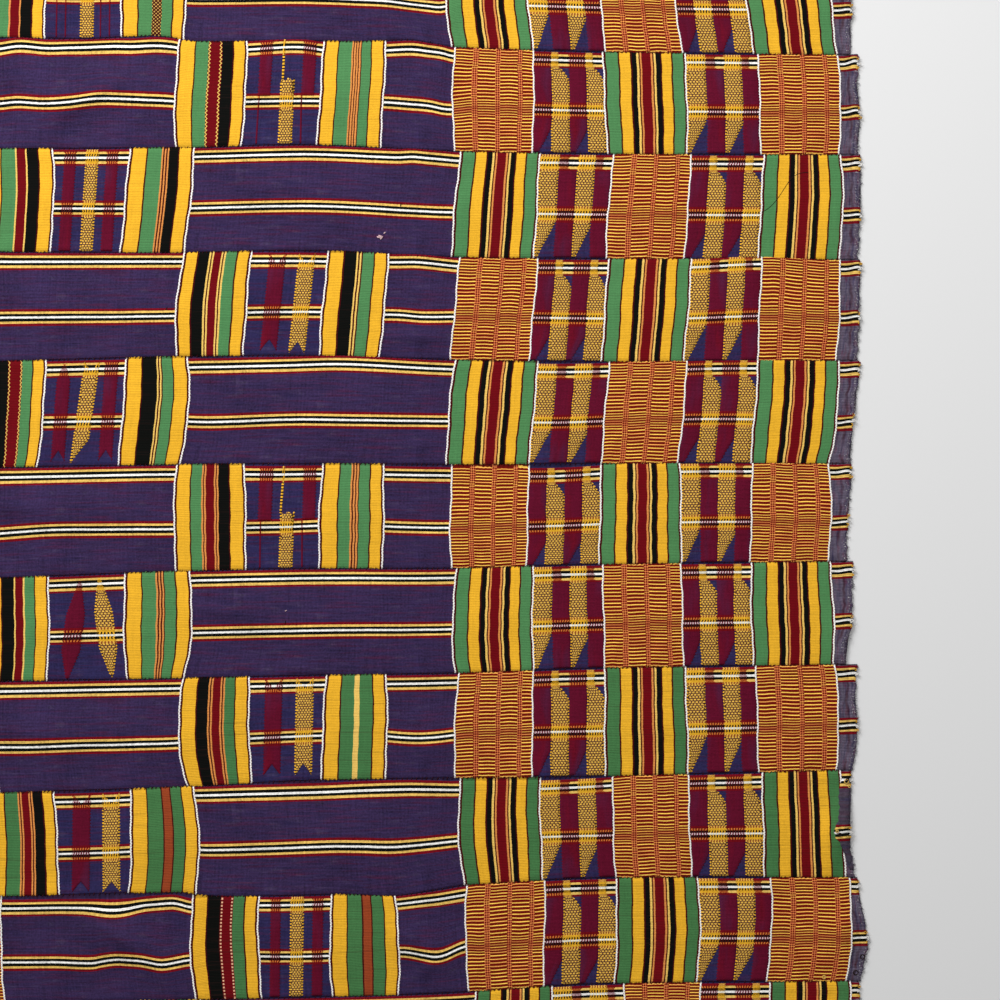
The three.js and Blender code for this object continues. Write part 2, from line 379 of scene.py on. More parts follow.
def bands(at, stops):
    """Hard-edged colours along a field: each stop is a place and a colour. The stops are set twice, because the ramp
    sorts them anew as each one moves. Gives the colour, and its fourth number as a field."""
    ramp = at.tree.nodes.new("ShaderNodeValToRGB")
    ramp.color_ramp.interpolation = "CONSTANT"
    places = ramp.color_ramp.elements
    while len(places) < len(stops):
        places.new(0.5)
    for element, (place, colour) in 2 * list(zip(places, stops)):
        element.position = place
        element.color = colour
    at.tree.links.new(at.socket, ramp.inputs[0])
    return ramp.outputs[0], Field(at.tree, ramp.outputs[1])


def blend_colours(amount, first, second):
    """The first colour where the amount is 0 and the second where it is 1. A colour is a socket or four numbers."""
    mix = amount.tree.nodes.new("ShaderNodeMix")
    mix.data_type = "RGBA"
    amount.tree.links.new(amount.socket, mix.inputs[0])
    for colour, socket in ((first, mix.inputs[6]), (second, mix.inputs[7])):
        if isinstance(colour, list):
            socket.default_value = colour
        else:
            amount.tree.links.new(colour, socket)
    return mix.outputs[2]


def toned(colour, tone):
    """A colour made lighter or darker by a field."""
    scale = tone.tree.nodes.new("ShaderNodeVectorMath")
    scale.operation = "SCALE"
    tone.tree.links.new(colour, scale.inputs[0])
    tone.tree.links.new(tone.socket, scale.inputs[3])
    return scale.outputs[0]


def make_thread_group():
    """Threads of the weave, from places in metres along and across. The ribs are the size of a sine of the place
    across, the picks one of the place along, moved half a pick on every other rib. Height is their product, and Tone
    goes with it, as painted shade that makes the dips between threads darker than their crests, and with noise
    drawn out along the ribs and along the picks."""
    tree = bpy.data.node_groups.new("woven threads", "ShaderNodeTree")
    for label, value in (("Rib", 1.3), ("Pick", 0.9), ("Unevenness", 0.2)):
        tree.interface.new_socket(label, in_out="INPUT", socket_type="NodeSocketFloat").default_value = value
    for label in ("Height", "Tone"):
        tree.interface.new_socket(label, in_out="OUTPUT", socket_type="NodeSocketFloat")
    given, out = tree.nodes.new("NodeGroupInput"), tree.nodes.new("NodeGroupOutput")
    rib, pick, uneven = (Field(tree, given.outputs[k]) for k in range(3))
    along, across = uv_fields(tree, "cloth")
    sway = noise(tree, 90, 1.0) * 0.9
    row = (across * 1000 + sway).put("DIVIDE", rib)
    step = (along * 1000 + sway).put("DIVIDE", pick) + (row.whole() * 0.5).rest()
    height = (row * 0.5).wave().size() * (0.45 + (step * 0.5).wave().size() * 0.55)
    by_rib = noise(tree, 1, 2.0, (34, 780, 1))
    by_pick = noise(tree, 1, 2.0, (640, 30, 1))
    speckle = noise(tree, 620, 1.0)
    broad = noise(tree, 20, 3.0)
    # Painted shade: the term in height lightens the thread crests and darkens the dips between them.
    tone = 1 + uneven * (height * 0.5 + by_rib * 1.5 + by_pick * 1.2 + speckle * 1.6 + broad - 2.9)
    tree.links.new(height.socket, out.inputs[0])
    tree.links.new(tone.socket, out.inputs[1])
    return tree


THREADS = make_thread_group()


def make_seam_shade_group():
    """Painted shade in the groove beside a seam: 1 in the open cloth, down to a third within a millimetre of the
    selvage.
    """
    tree = bpy.data.node_groups.new("painted shade at the selvage", "ShaderNodeTree")
    tree.interface.new_socket("Tone", in_out="OUTPUT", socket_type="NodeSocketFloat")
    out = tree.nodes.new("NodeGroupOutput")
    _, v = uv_fields(tree, "block")
    inward = 0.5 - (v - 0.5).size()
    tone = 0.36 + (inward * 78 + noise(tree, 300, 2.0) * 0.9 - 0.55).held() * 0.64
    tree.links.new(tone.socket, out.inputs[0])
    return tree


SEAM_SHADE = make_seam_shade_group()


def grouped(tree, group, **values):
    """A placed group's outputs as fields."""
    node = tree.nodes.new("ShaderNodeGroup")
    node.node_tree = group
    for label, value in values.items():
        node.inputs[label].default_value = value
    return [Field(tree, socket) for socket in node.outputs]


COTTON_ROUGHNESS = 0.9
COTTON_SHEEN = 0.08
RELIEF_DEPTH = 0.0006


def cotton(name, paint, rib=1.3, pick=0.9, unevenness=0.2, bump=0.35):
    """A cotton material: paint gives the colour socket and the pattern's own height, and the threads lie over both."""
    material = bpy.data.materials.new(name)
    material.use_nodes = True
    tree = material.node_tree
    shader = tree.nodes["Principled BSDF"]
    shader.inputs["Roughness"].default_value = COTTON_ROUGHNESS
    shader.inputs["Specular IOR Level"].default_value = COTTON_SHEEN
    height, tone = grouped(tree, THREADS, Rib=rib, Pick=pick, Unevenness=unevenness)
    # Painted shade in the seam groove darkens the colour near each selvage.
    (seam_shade,) = grouped(tree, SEAM_SHADE)
    colour, pattern = paint(tree)
    tree.links.new(toned(colour, tone * seam_shade), shader.inputs["Base Color"])
    relief = tree.nodes.new("ShaderNodeBump")
    relief.inputs["Strength"].default_value = bump
    relief.inputs["Distance"].default_value = RELIEF_DEPTH
    tree.links.new((height + pattern).socket if pattern else height.socket, relief.inputs["Height"])
    tree.links.new(relief.outputs[0], shader.inputs["Normal"])
    return material


# The warp. It runs the whole length of a strip: a purple ground with two groups of red, yellow, black and white
# stripes, one by the upper selvage and one just past the middle. Places are shares of the strip's width.
STRIPE_ORDER = "ryKWKyr"
STRIPE_EDGES = {
    "upper": [0.010, 0.0335, 0.054, 0.0797, 0.0995, 0.124, 0.145, 0.166],
    "middle": [0.501, 0.5245, 0.545, 0.5697, 0.5895, 0.614, 0.6355, 0.657],
}
STRIPE_TONE = 0.95


def warp_stops(ground, look=None, strength=1.0):
    """The stripes as stops across the strip, with a fourth number that is 1 on the ground and 0 on a stripe. look
    gives another letter for a stripe's letter."""
    look = look or {}
    plain = dye(ground, strength)
    stops = [(0.0, plain)]
    for edges in STRIPE_EDGES.values():
        for letter, place in zip(STRIPE_ORDER, edges):
            stops.append((place, [*dye(look.get(letter, letter), STRIPE_TONE)[:3], 0.0]))
        stops.append((edges[-1], plain))
    return stops


def wavering_v(tree, amount=0.004):
    """The place across the strip, with a small waver along it, as yarns shift side to side."""
    _, v = uv_fields(tree, "block")
    return v + (noise(tree, 1, 1.0, (28, 10, 1)) - 0.5) * amount + (noise(tree, 420, 0.0) - 0.5) * 0.003


def paint_ground(letter, strength):
    """Warp stripes on a plain ground that has faint redder, bluer and worn threads."""
    def paint(tree):
        stripes, plain = bands(wavering_v(tree), warp_stops(letter, strength=strength))
        reddish = noise(tree, 1, 3.0, (26, 420, 1)).steep(4, 2.0) * plain * 0.42
        bluish = noise(tree, 1, 3.0, (44, 260, 1)).steep(4, 1.9) * plain * 0.55
        worn = noise(tree, 1, 4.0, (60, 210, 1)).steep(5, 2.9) * plain * 0.16
        colour = blend_colours(reddish, stripes, dye("m", 0.9))
        colour = blend_colours(bluish, colour, dye("i", 0.85))
        return blend_colours(worn, colour, dye("h", 1.25)), None
    return paint


ground = cotton("purple ground, warp stripes", paint_ground("P", 1.0), 1.1, 1.0, 0.62, 0.35)
field_ground = cotton("blue purple ground under the inlay", paint_ground("i", 1.0), 1.1, 1.0, 0.56, 0.35)


# The weft-striped blocks. The weft is beaten down until it hides the warp, so these blocks are bars of plain colour
# that cross the strip, with a thin dark line between two colours. Each chart reads from the cut end to the hem: a
# letter is a yarn, its number the bar's share, z is two yarns in zigzag, t is dotted, and s is speckled.
CHARTS = {
    "bars": "d1.7 G12.2 d1.5 Y10.7 d1.6 K5 y2 d1.3 o1.8 C9.2 o1.8 d1.3 y2 K4.6 Y9.6 d1.5 G10.6 d1.7",
    "1 first": "Y11 G14 o1.6 C9 o1.6 K11 Y10 d1.7",
    "1 second": "d1.7 Y13 G13 s9 G10 Y9 d1.7",
    "2 first": "d1.7 Y13 G12 z2.5 C8.5 z2.5 K10 Y10 d1.7",
    "2 second": "d1.7 Y12 G13 o1.5 d1 o1.5 d1 o1.5 d1 o1.5 d1 G9 Y11 d1.7",
    "3 first": "d1.7 Y12 G14 y1.5 C9 y1.5 K11 Y12 d1.7",
    "3 second": "d1.7 Y14 G14 o1.6 d1.3 o1.6 d1.3 o1.6 K9 Y11.5 d1.7",
    "4 first": "d1.7 Y10 K10 y1.5 d1.2 y1.5 C7 y1.5 d1.2 y1.5 G10 Y10 d1.7",
    "4 second": "d1.7 Y12 K11 y1.5 d1.4 y1.5 d1.4 G10 Y10 d1.7",
    "5 first": "d1.7 Y8 K11 z2.2 C10 z2.2 G10 Y10 d1.7",
    "5 second": "d1.7 Y13 K14 y1.5 d1.4 y1.5 d1 G10 Y12 d1.7",
    "6 first": "d1.7 Y12 G10 o1.5 d1.2 o1.5 C8 o1.5 d1.2 o1.5 K10 Y12 d1.7",
    "6 second": "d1.7 Y14 G11 o1.6 d1.3 o1.6 d1.3 o1.6 d1 G10 Y10 d1.7",
    "7 first": "d1.7 Y12 K12 y1.6 C8 y1.6 G10 Y11 d1.7",
    "7 second": "d1.7 Y13 G13 o1.6 d1.3 o1.6 d1.3 o1.6 d1 G10 Y11 d1.7",
    "8 first": "d1.7 Y12 K10 o1.5 d1.2 o1.5 C7 o1.5 d1.2 o1.5 G9 Y10 d1.7",
    "8 second": "d1.7 Y12 G12 y5 G12 Y10 d1.7",
    "9 first": "d1.7 Y10 G13 o1.5 d1.2 o1.5 C7 o1.5 d1.2 o1.5 K9 Y9 d1.7",
    "9 second": "d1.7 Y13 G14 R7.5 G10 Y10 d1.7",
    "10 first": "d1.7 Y10.5 K11 d0.6 t2.2 C6.8 t2.2 G10 Y9.4 d1.7",
    "10 second": "d1.7 Y13 G14 R8 G11 Y10 d1.7",
    "11 first": "d1.7 Y10 G13 o1.5 d1.2 o1.5 C7 o1.5 d1.2 o1.5 K9 Y9 d1.7",
    "11 second": "d1.7 Y13 G14 R8 G10 Y10 d1.7",
}
DARK_LINE = 1.3


def read_chart(chart):
    """A chart as letters and the places where their bars start. Two bars of plain colour get a dark line between."""
    bars = []
    for bar in chart.split():
        if bars and bars[-1][0].isupper() and bar[0].isupper():
            bars.append(("d", DARK_LINE))
        bars.append((bar[0], float(bar[1:])))
    widths = np.array([width for _, width in bars])
    starts = np.concatenate([[0], np.cumsum(widths)[:-1]]) / widths.sum()
    return [(letter, float(start)) for (letter, _), start in zip(bars, starts)]


def paint_bars(chart, green="G"):
    """The bars of a chart. In a zigzag bar a thin line swings from side to side, a dotted one has round dots, and a
    speckled one has flecks. Dark lines lie lower, and fine dark threads show along the strip."""
    fancy = {"z": ("C", 0.5), "t": ("C", 1.0), "s": ("d", 0.75)}

    def paint(tree):
        u, v = uv_fields(tree, "block")
        along, across = uv_fields(tree, "cloth")
        at = u + (noise(tree, 1, 1.0, (12, 36, 1)) - 0.5) * 0.012 + (noise(tree, 500, 0.0) - 0.5) * 0.006
        bars = read_chart(CHARTS[chart])
        ends = [place for _, place in bars[1:]] + [1.0]
        base, _ = bands(at, [(p, dye(fancy[c][0] if c in fancy else green if c == "G" else c)) for c, p in bars])
        depth = {"d": 0.0, "K": 0.7}
        marks, broken = bands(at, [
            (p, [depth.get(c, 1.0), (p + end) / 2, (end - p) / 2, fancy[c][1] if c in fancy else 0.0])
            for (c, p), end in zip(bars, ends)
        ])
        level, middle, half = parts(tree, marks)
        off = (at - middle).put("DIVIDE", half)
        swing = (across * 600).zigzag() * 1.5 - 0.75
        line = (1 - (off - swing).size().over(0.4)) * (1 - (broken - 0.5).size().over(0.1))
        dot = (across * 340).rest().over(0.5) * (1 - off.size().over(0.66)) * broken.over(0.9)
        check = (along * 310 + across * 300).rest().over(0.5) * (along * 310 - across * 300).rest().over(0.5)
        flecks = check * (1 - (broken - 0.75).size().over(0.1))
        worn = noise(tree, 1, 3.0, (110, 60, 1)).steep(4, 2.75) * 0.3
        threads = noise(tree, 1, 2.0, (16, 640, 1)).steep(5, 2.8) * (0.34 if green == "E" else 0.15)
        colour = blend_colours(line, base, dye("y"))
        colour = blend_colours(dot, colour, dye("n"))
        colour = blend_colours(flecks, colour, dye("y", 0.75))
        colour = blend_colours(threads, colour, dye("b"))
        return blend_colours(worn, colour, dye("b")), level * 2.2
    return paint


# The dash blocks. Two wefts, golden and dark red, take turns in wide columns, so that each shows as rows of
# dashes. In the narrow columns between, the turns are short and make a fine check.

# First how many turns lie above each share of the strip's width. Then the columns along a block: where each starts,
# how its turns are shifted, and 1 where it is narrow.
DASH_PITCH_AT = {0.0: 0.0, 0.17: 6.0, 0.5: 15.4, 0.66: 21.9, 1.0: 32.2}
DASH_COLUMNS = [(0.0, 0.0, 0), (0.224, 0.0, 1), (0.30, 0.42, 0), (0.52, 0.5, 1), (0.585, 0.05, 0), (0.805, 0.0, 1),
                (0.87, 0.5, 0)]


def paint_dashes(tree):
    """Dashes: the count of turns across the strip comes from a table, and the last 0.3 of each count is golden. The
    check is where one of two crossing diagonals shows and the other doesn't."""
    u, v = uv_fields(tree, "block")
    along, across = uv_fields(tree, "cloth")
    at = u + (noise(tree, 1, 1.0, (12, 50, 1)) - 0.5) * 0.02
    marks, narrow = bands(at, [(start, [shift, 0, 0, narrow]) for start, shift, narrow in DASH_COLUMNS])
    shift = parts(tree, marks)[0]
    curve = tree.nodes.new("ShaderNodeFloatCurve")
    line = curve.mapping.curves[0]
    turns = DASH_PITCH_AT[1.0]
    places = list(DASH_PITCH_AT.items())
    while len(line.points) < len(places):
        line.points.new(0.5, 0.5)
    for point, (place, count) in zip(line.points, places):
        point.location = (place, count / turns)
        point.handle_type = "VECTOR"
    curve.mapping.update()
    tree.links.new(v.socket, curve.inputs["Value"])
    count = Field(tree, curve.outputs[0]) * turns + shift + (noise(tree, 1, 1.0, (60, 14, 1)) - 0.5) * 0.7
    dash = count.rest().over(0.7)
    first = (along * 275 + across * 250 + shift * 0.3).rest().over(0.5)
    second = (along * 275 - across * 250).rest().over(0.5)
    check = (first - second).size()
    yarn = dash * (1 - narrow) + check * narrow
    wild = tree.nodes.new("ShaderNodeTexWhiteNoise")
    wild.noise_dimensions = "2D"
    cell = tree.nodes.new("ShaderNodeCombineXYZ")
    tree.links.new((shift * 7).socket, cell.inputs[0])
    tree.links.new(count.whole().socket, cell.inputs[1])
    tree.links.new(cell.outputs[0], wild.inputs["Vector"])
    faded = (1 - ((v - 0.58) * 14).size()).held()
    salmon = (Field(tree, wild.outputs[0]) * 1.6 - 1.0 + narrow * 1.6 + faded * 0.5).held()
    golden = blend_colours(salmon, dye("g", 1.35), dye("s", 1.15))
    golden = blend_colours(faded * 0.4 + narrow * 0.3, golden, dye("R"))
    dark = blend_colours(faded * 0.3, dye("u"), dye("R", 0.6))
    return blend_colours(yarn, dark, golden), yarn


dashes = cotton("golden and red dashes", paint_dashes, 1.4, 2.6, 0.2, 0.45)


# The white lines. A thick white pick, packed three times, sets every block off from the next. It stands up between
# them, and the picks beside it dip under it.
def paint_white(tree):
    """White yarn; along both sides the hollows where the next pick dips under it are painted dark red, as painted
    shade.
    """
    u, _ = uv_fields(tree, "block")
    _, across = uv_fields(tree, "cloth")
    side = ((u - 0.5).size() * 2 + noise(tree, 420, 1.0) * 0.4).over(0.8)
    # Painted shade in the hollows beside the raised white pick.
    hollow = (across * 380 + u.over(0.5) * 0.5 + noise(tree, 120, 1.0) * 1.2).rest().over(0.5)
    return blend_colours(side * hollow * 0.9, dye("W"), dye("u")), None


white_line = cotton("white outline yarn", paint_white, 1.5, 0.8, 0.16, 0.5)


# The heading. Past the last block the thin warp ends are woven plain and left to fade, and the last 6 mm are
# rolled over and overcast, with the crease just inside it.
HEADING_SPAN = 30


def paint_heading(tree):
    """The warp stripes on faded grey purple, with bluish and pinkish streaks along the picks, worn grey patches,
    painted shade along the crease just inside the rolled end and pale specks on it. u falls by 1 in 30 mm back from the
    end."""
    u, _ = uv_fields(tree, "block")
    back = (1 - u) * HEADING_SPAN
    stripes, plain = bands(wavering_v(tree, 0.012), warp_stops("h", strength=0.92))
    streak = noise(tree, 1, 3.0, (420, 40, 1)).steep(4.5, 2.1)
    pink = noise(tree, 1, 2.0, (330, 90, 1)).steep(5, 2.6)
    patch = noise(tree, 110, 3.0).steep(5, 2.5)
    colour = blend_colours(patch * plain * 0.5, stripes, dye("h", 1.5))
    colour = blend_colours(streak * plain * 0.75, colour, dye("i", 0.8))
    colour = blend_colours(pink * plain * 0.4, colour, dye("m", 1.3))
    # Painted shade in the crease just inside the rolled end.
    crease = (1.5 - ((back - 6.8 + noise(tree, 90, 1.0) * 1.6 - 0.8) * 0.9).size()).held()
    crease = crease * noise(tree, 60, 1.0).steep(3, 0.9)
    colour = blend_colours(crease * (plain * 0.35 + 0.3), colour, dye("d", 0.6))
    speck = noise(tree, 950, 2.0).steep(10, 6.0) * (4.2 - back).held() * plain
    return blend_colours(speck * 0.8, colour, dye("W", 0.8)), (noise(tree, 260, 2.0) - 0.5) * 3


heading = cotton("faded heading", paint_heading, 1.3, 0.8, 0.34, 0.6)


# The strips. Each is one length of weaving, and its blocks lie so that those of neighbouring strips take turns.
# The x of every white line is given where it meets the upper selvage, mid-strip and at the lower selvage. From
# strip 8 on the green is a deeper one.
ORDER = {
    "odd": ["ground", "first", "inlay", "second", "ground", "bars", "taper", "dashes", "bulge", "bars", "heading"],
    "even": ["dashes", "ground", "first", "inlay", "second", "ground",
             "dashes", "bulge", "bars", "taper", "dashes", "heading"],
}
LINES = {
    1: {"top": [-355, -301, -237, -183, 30, 101, 160, 223, 284, 355],
        "middle": [-355, -302, -238, -184, 34, 103, 164, 227, 287, 358],
        "bottom": [-356, -303, -239, -186, 39, 108, 169, 233, 293, 363]},
    2: {"top": [-344, -189, -133, -68, -16, 42, 108, 166, 235, 297, 363],
        "middle": [-344, -193, -134, -71, -18, 40, 108, 168, 237, 298, 366],
        "bottom": [-345, -193, -138, -74, -21, 42, 107, 170, 237, 299, 364]},
    3: {"top": [-352, -296, -231, -177, 47, 113, 176, 240, 302, 366],
        "middle": [-352, -295, -235, -180, 42, 111, 171, 238, 299, 368],
        "bottom": [-354, -299, -239, -186, 39, 108, 169, 234, 297, 364]},
    4: {"top": [-344, -185, -129, -64, -14, 46, 112, 171, 241, 300, 365],
        "middle": [-344, -192, -133, -69, -17, 42, 108, 168, 238, 298, 365],
        "bottom": [-346, -192, -136, -72, -22, 38, 104, 165, 234, 296, 362]},
    5: {"top": [-352, -302, -234, -183, 42, 112, 172, 237, 297, 364],
        "middle": [-353, -304, -237, -182, 37, 108, 168, 234, 294, 363],
        "bottom": [-355, -309, -241, -190, 35, 104, 165, 229, 290, 356]},
    6: {"top": [-344, -192, -135, -69, -18, 40, 104, 165, 231, 292, 356],
        "middle": [-345, -194, -134, -72, -18, 38, 103, 164, 232, 291, 358],
        "bottom": [-344, -192, -134, -72, -19, 39, 102, 163, 232, 290, 355]},
    7: {"top": [-352, -300, -235, -182, 44, 108, 166, 232, 291, 357],
        "middle": [-351, -299, -236, -179, 40, 107, 167, 233, 291, 360],
        "bottom": [-352, -301, -234, -186, 42, 108, 168, 234, 293, 360]},
    8: {"top": [-343, -186, -131, -66, -16, 45, 108, 168, 235, 295, 361],
        "middle": [-344, -190, -131, -69, -15, 42, 107, 168, 237, 296, 364],
        "bottom": [-340, -183, -129, -70, -17, 42, 107, 168, 238, 297, 362]},
    9: {"top": [-348, -295, -231, -178, 47, 113, 175, 238, 300, 366],
        "middle": [-346, -292, -230, -173, 45, 114, 175, 239, 301, 368],
        "bottom": [-347, -291, -232, -176, 50, 116, 177, 241, 302, 370]},
    10: {"top": [-339, -178, -123, -61, -9, 52, 118, 177, 246, 307, 373],
         "middle": [-339, -180, -123, -63, -5, 51, 117, 178, 248, 308, 375],
         "bottom": [-336, -176, -120, -61, -6, 54, 116, 176, 245, 303, 371]},
    11: {"top": [-342, -288, -226, -172, 59, 124, 184, 248, 307, 374],
         "middle": [-342, -288, -225, -170, 58, 124, 184, 248, 307, 374],
         "bottom": [-343, -289, -226, -171, 59, 125, 185, 249, 308, 373]},
}
DEEPER_GREEN_FROM = 8

# The grid of a strip: steps along each kind of block, with closer ones over the rolled end; the share of a block of
# dashes that the plain cut takes; the raised white line from side to side; and the rows across, of which those at
# the selvages move with the picks.
STEP_ALONG = {"ground": 4.0, "inlay": 2.6, "taper": 2.6, "bulge": 2.6, "heading": 2.0}
BLOCK_STEP = 1.7
EVEN_HEADING_TO = 0.55
ROLL_SHARES = np.linspace(0.58, 1, 12)
CUT_DASHES = 0.34
LINE_HALF_WIDTH = 0.74
LINE_PROFILE = [(-1, 0.0), (-0.5, 0.34), (0.5, 0.34), (1, 0.0)]
SELVAGE_ROWS = [0, 0.008, 0.02, 0.045]
SELVAGE_MOVES = [1, 0.55, 0.1, 0]
ACROSS = np.concatenate([SELVAGE_ROWS, np.linspace(0.045, 0.955, 25)[1:-1], [0.955, 0.98, 0.992, 1]])
UNDER_ROWS = [0, 3, 9, 15, 21, 27, len(ACROSS) - 1]
rng = np.random.default_rng(41)

# How high the weft-faced blocks stand over the ground, and how far a pick turns out past the selvage, from and to:
# every other pick of a weft-faced block turns out.
WEFT_FACED = ("first", "second", "bars", "dashes")
WEFT_RISE = 0.28
TURN_OUT = (0.5, 1.25)
TURN_IN = (-0.3, 0.15)
GROUND_TURN = (-0.12, 0.14)
LINE_TURN = 0.35
TURN_RISE = 0.25

# The rolled hem: how far past the last white line it may begin, its height, its middle and half width back from the
# end, then the crease inside it.
PAST_LAST_LINE = 2
ROLL_HEIGHT, ROLL_MIDDLE, ROLL_HALF = 1.15, 3.1, 3.2
CREASE_DEPTH, CREASE_MIDDLE, CREASE_HALF = 0.30, 7.2, 1.1


def line_x(strip, number, v):
    """The x of a white line: a parabola through its three places, with a small waver of its own."""
    row = LINES[strip]
    top, middle, bottom = (row[k][number] for k in ("top", "middle", "bottom"))
    straight = top * (2 * v - 1) * (v - 1) + middle * 4 * v * (1 - v) + bottom * v * (2 * v - 1)
    return straight + 0.45 * np.sin(9.5 * v + 2.3 * number + strip) + 0.22 * np.sin(31 * v + number * strip)


def hem_rise(back):
    """The rolled hem's height over the cloth by the distance back from the end: a half round, then a crease."""
    roll = ROLL_HEIGHT * np.sqrt(np.clip(1 - ((back - ROLL_MIDDLE) / ROLL_HALF) ** 2, 0, 1))
    return roll - CREASE_DEPTH * np.exp(-(((back - CREASE_MIDDLE) / CREASE_HALF) ** 2))


def closed_sheet(top, under_rows, under_z):
    """Corners and faces of a closed sheet: the top grid, an underside of fewer rows, walls along and at the ends."""
    rows, cols = top.shape[:2]
    under = top[under_rows].copy()
    under[..., 2] = under_z
    grid = np.arange(rows * cols).reshape(rows, cols)
    low = rows * cols + np.arange(len(under_rows) * cols).reshape(len(under_rows), cols)
    quads = [
        np.stack([grid[:-1, :-1], grid[1:, :-1], grid[1:, 1:], grid[:-1, 1:]], -1),
        np.stack([low[:-1, 1:], low[1:, 1:], low[1:, :-1], low[:-1, :-1]], -1),
        np.stack([grid[:1, :-1], grid[:1, 1:], low[:1, 1:], low[:1, :-1]], -1),
        np.stack([grid[-1:, 1:], grid[-1:, :-1], low[-1:, :-1], low[-1:, 1:]], -1),
    ]
    columns = [np.broadcast_to(np.arange(cols - 1), q.shape[:2]).ravel() for q in quads]
    faces = np.concatenate([q.reshape(-1, 4) for q in quads]).tolist()
    for k in range(len(under_rows) - 1):
        a, b = under_rows[k], under_rows[k + 1]
        faces.append([low[k, 0], low[k + 1, 0], *grid[a : b + 1, 0][::-1]])
        faces.append([low[k + 1, -1], low[k, -1], *grid[a : b + 1, -1]])
        columns.append(np.array([0, cols - 2]))
    corners = np.concatenate([top.reshape(-1, 3), under.reshape(-1, 3)])
    return corners, faces, np.concatenate(columns)


def new_piece(name, corners, faces, materials):
    """A mesh object at the origin, from corners in millimetres. It rides on the cloth's one body and is cotton."""
    mesh = bpy.data.meshes.new(name)
    mesh.from_pydata((np.asarray(corners) * MM).tolist(), [], faces)
    mesh.polygons.foreach_set("use_smooth", [True] * len(mesh.polygons))
    piece = bpy.data.objects.new(name, mesh)
    bpy.context.scene.collection.objects.link(piece)
    for material in materials:
        mesh.materials.append(material)
    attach(piece, "root")
    return piece


def face_corners(faces):
    """The corner numbers of all the faces in one row, in the order of a UV map."""
    return np.concatenate([np.asarray(face) for face in faces])


def set_uv(piece, name, first, second):
    """A UV map from its two numbers at each face corner."""
    layer = piece.data.uv_layers.new(name=name)
    layer.data.foreach_set("uv", np.stack([first, second], -1).astype(np.float32).ravel())


def lay_columns(strip):
    """A strip's columns from the cut end to the hem: x at every row, rise, tooth, and for each step between two
    columns its kind and the block's share u at both sides."""
    kinds = ORDER["odd" if strip % 2 else "even"]
    v = ACROSS
    start, stop = np.full_like(v, -CLOTH_LENGTH / 2), end_x(strip, v)
    edges = [start, *[line_x(strip, k, v) for k in range(len(kinds) - 1)], stop]
    xs, rise, tooth, steps = [start], [0.0], [0.0], []
    for k, kind in enumerate(kinds):
        left = edges[k] + (LINE_HALF_WIDTH if k else 0)
        right = edges[k + 1] - (LINE_HALF_WIDTH if kind != "heading" else 0)
        count = max(2, round(float(np.mean(right - left)) / STEP_ALONG.get(kind, BLOCK_STEP)))
        shares = np.linspace(0, 1, count + 1)
        if kind == "heading":
            shares = np.concatenate([shares[shares < EVEN_HEADING_TO], ROLL_SHARES])
        first_u = CUT_DASHES if k == 0 and kind == "dashes" else 0.0
        weft_faced = kind in WEFT_FACED
        for n, (a, b) in enumerate(zip(shares[:-1], shares[1:])):
            xs.append(left + (right - left) * b)
            rise.append(WEFT_RISE if weft_faced and b < 1 else 0.0)
            out = rng.uniform(*(TURN_OUT if n % 2 else TURN_IN))
            tooth.append(out if weft_faced else rng.uniform(*GROUND_TURN))
            steps.append((kind, first_u + (1 - first_u) * a, first_u + (1 - first_u) * b))
        if kind != "heading":
            for (a, _), (b, high) in zip(LINE_PROFILE[:-1], LINE_PROFILE[1:]):
                xs.append(edges[k + 1] + b * LINE_HALF_WIDTH)
                rise.append(high)
                tooth.append(LINE_TURN if high else 0.0)
                steps.append(("line", (a + 1) / 2, (b + 1) / 2))
    return np.stack(xs, 1), np.array(rise), np.array(tooth), steps


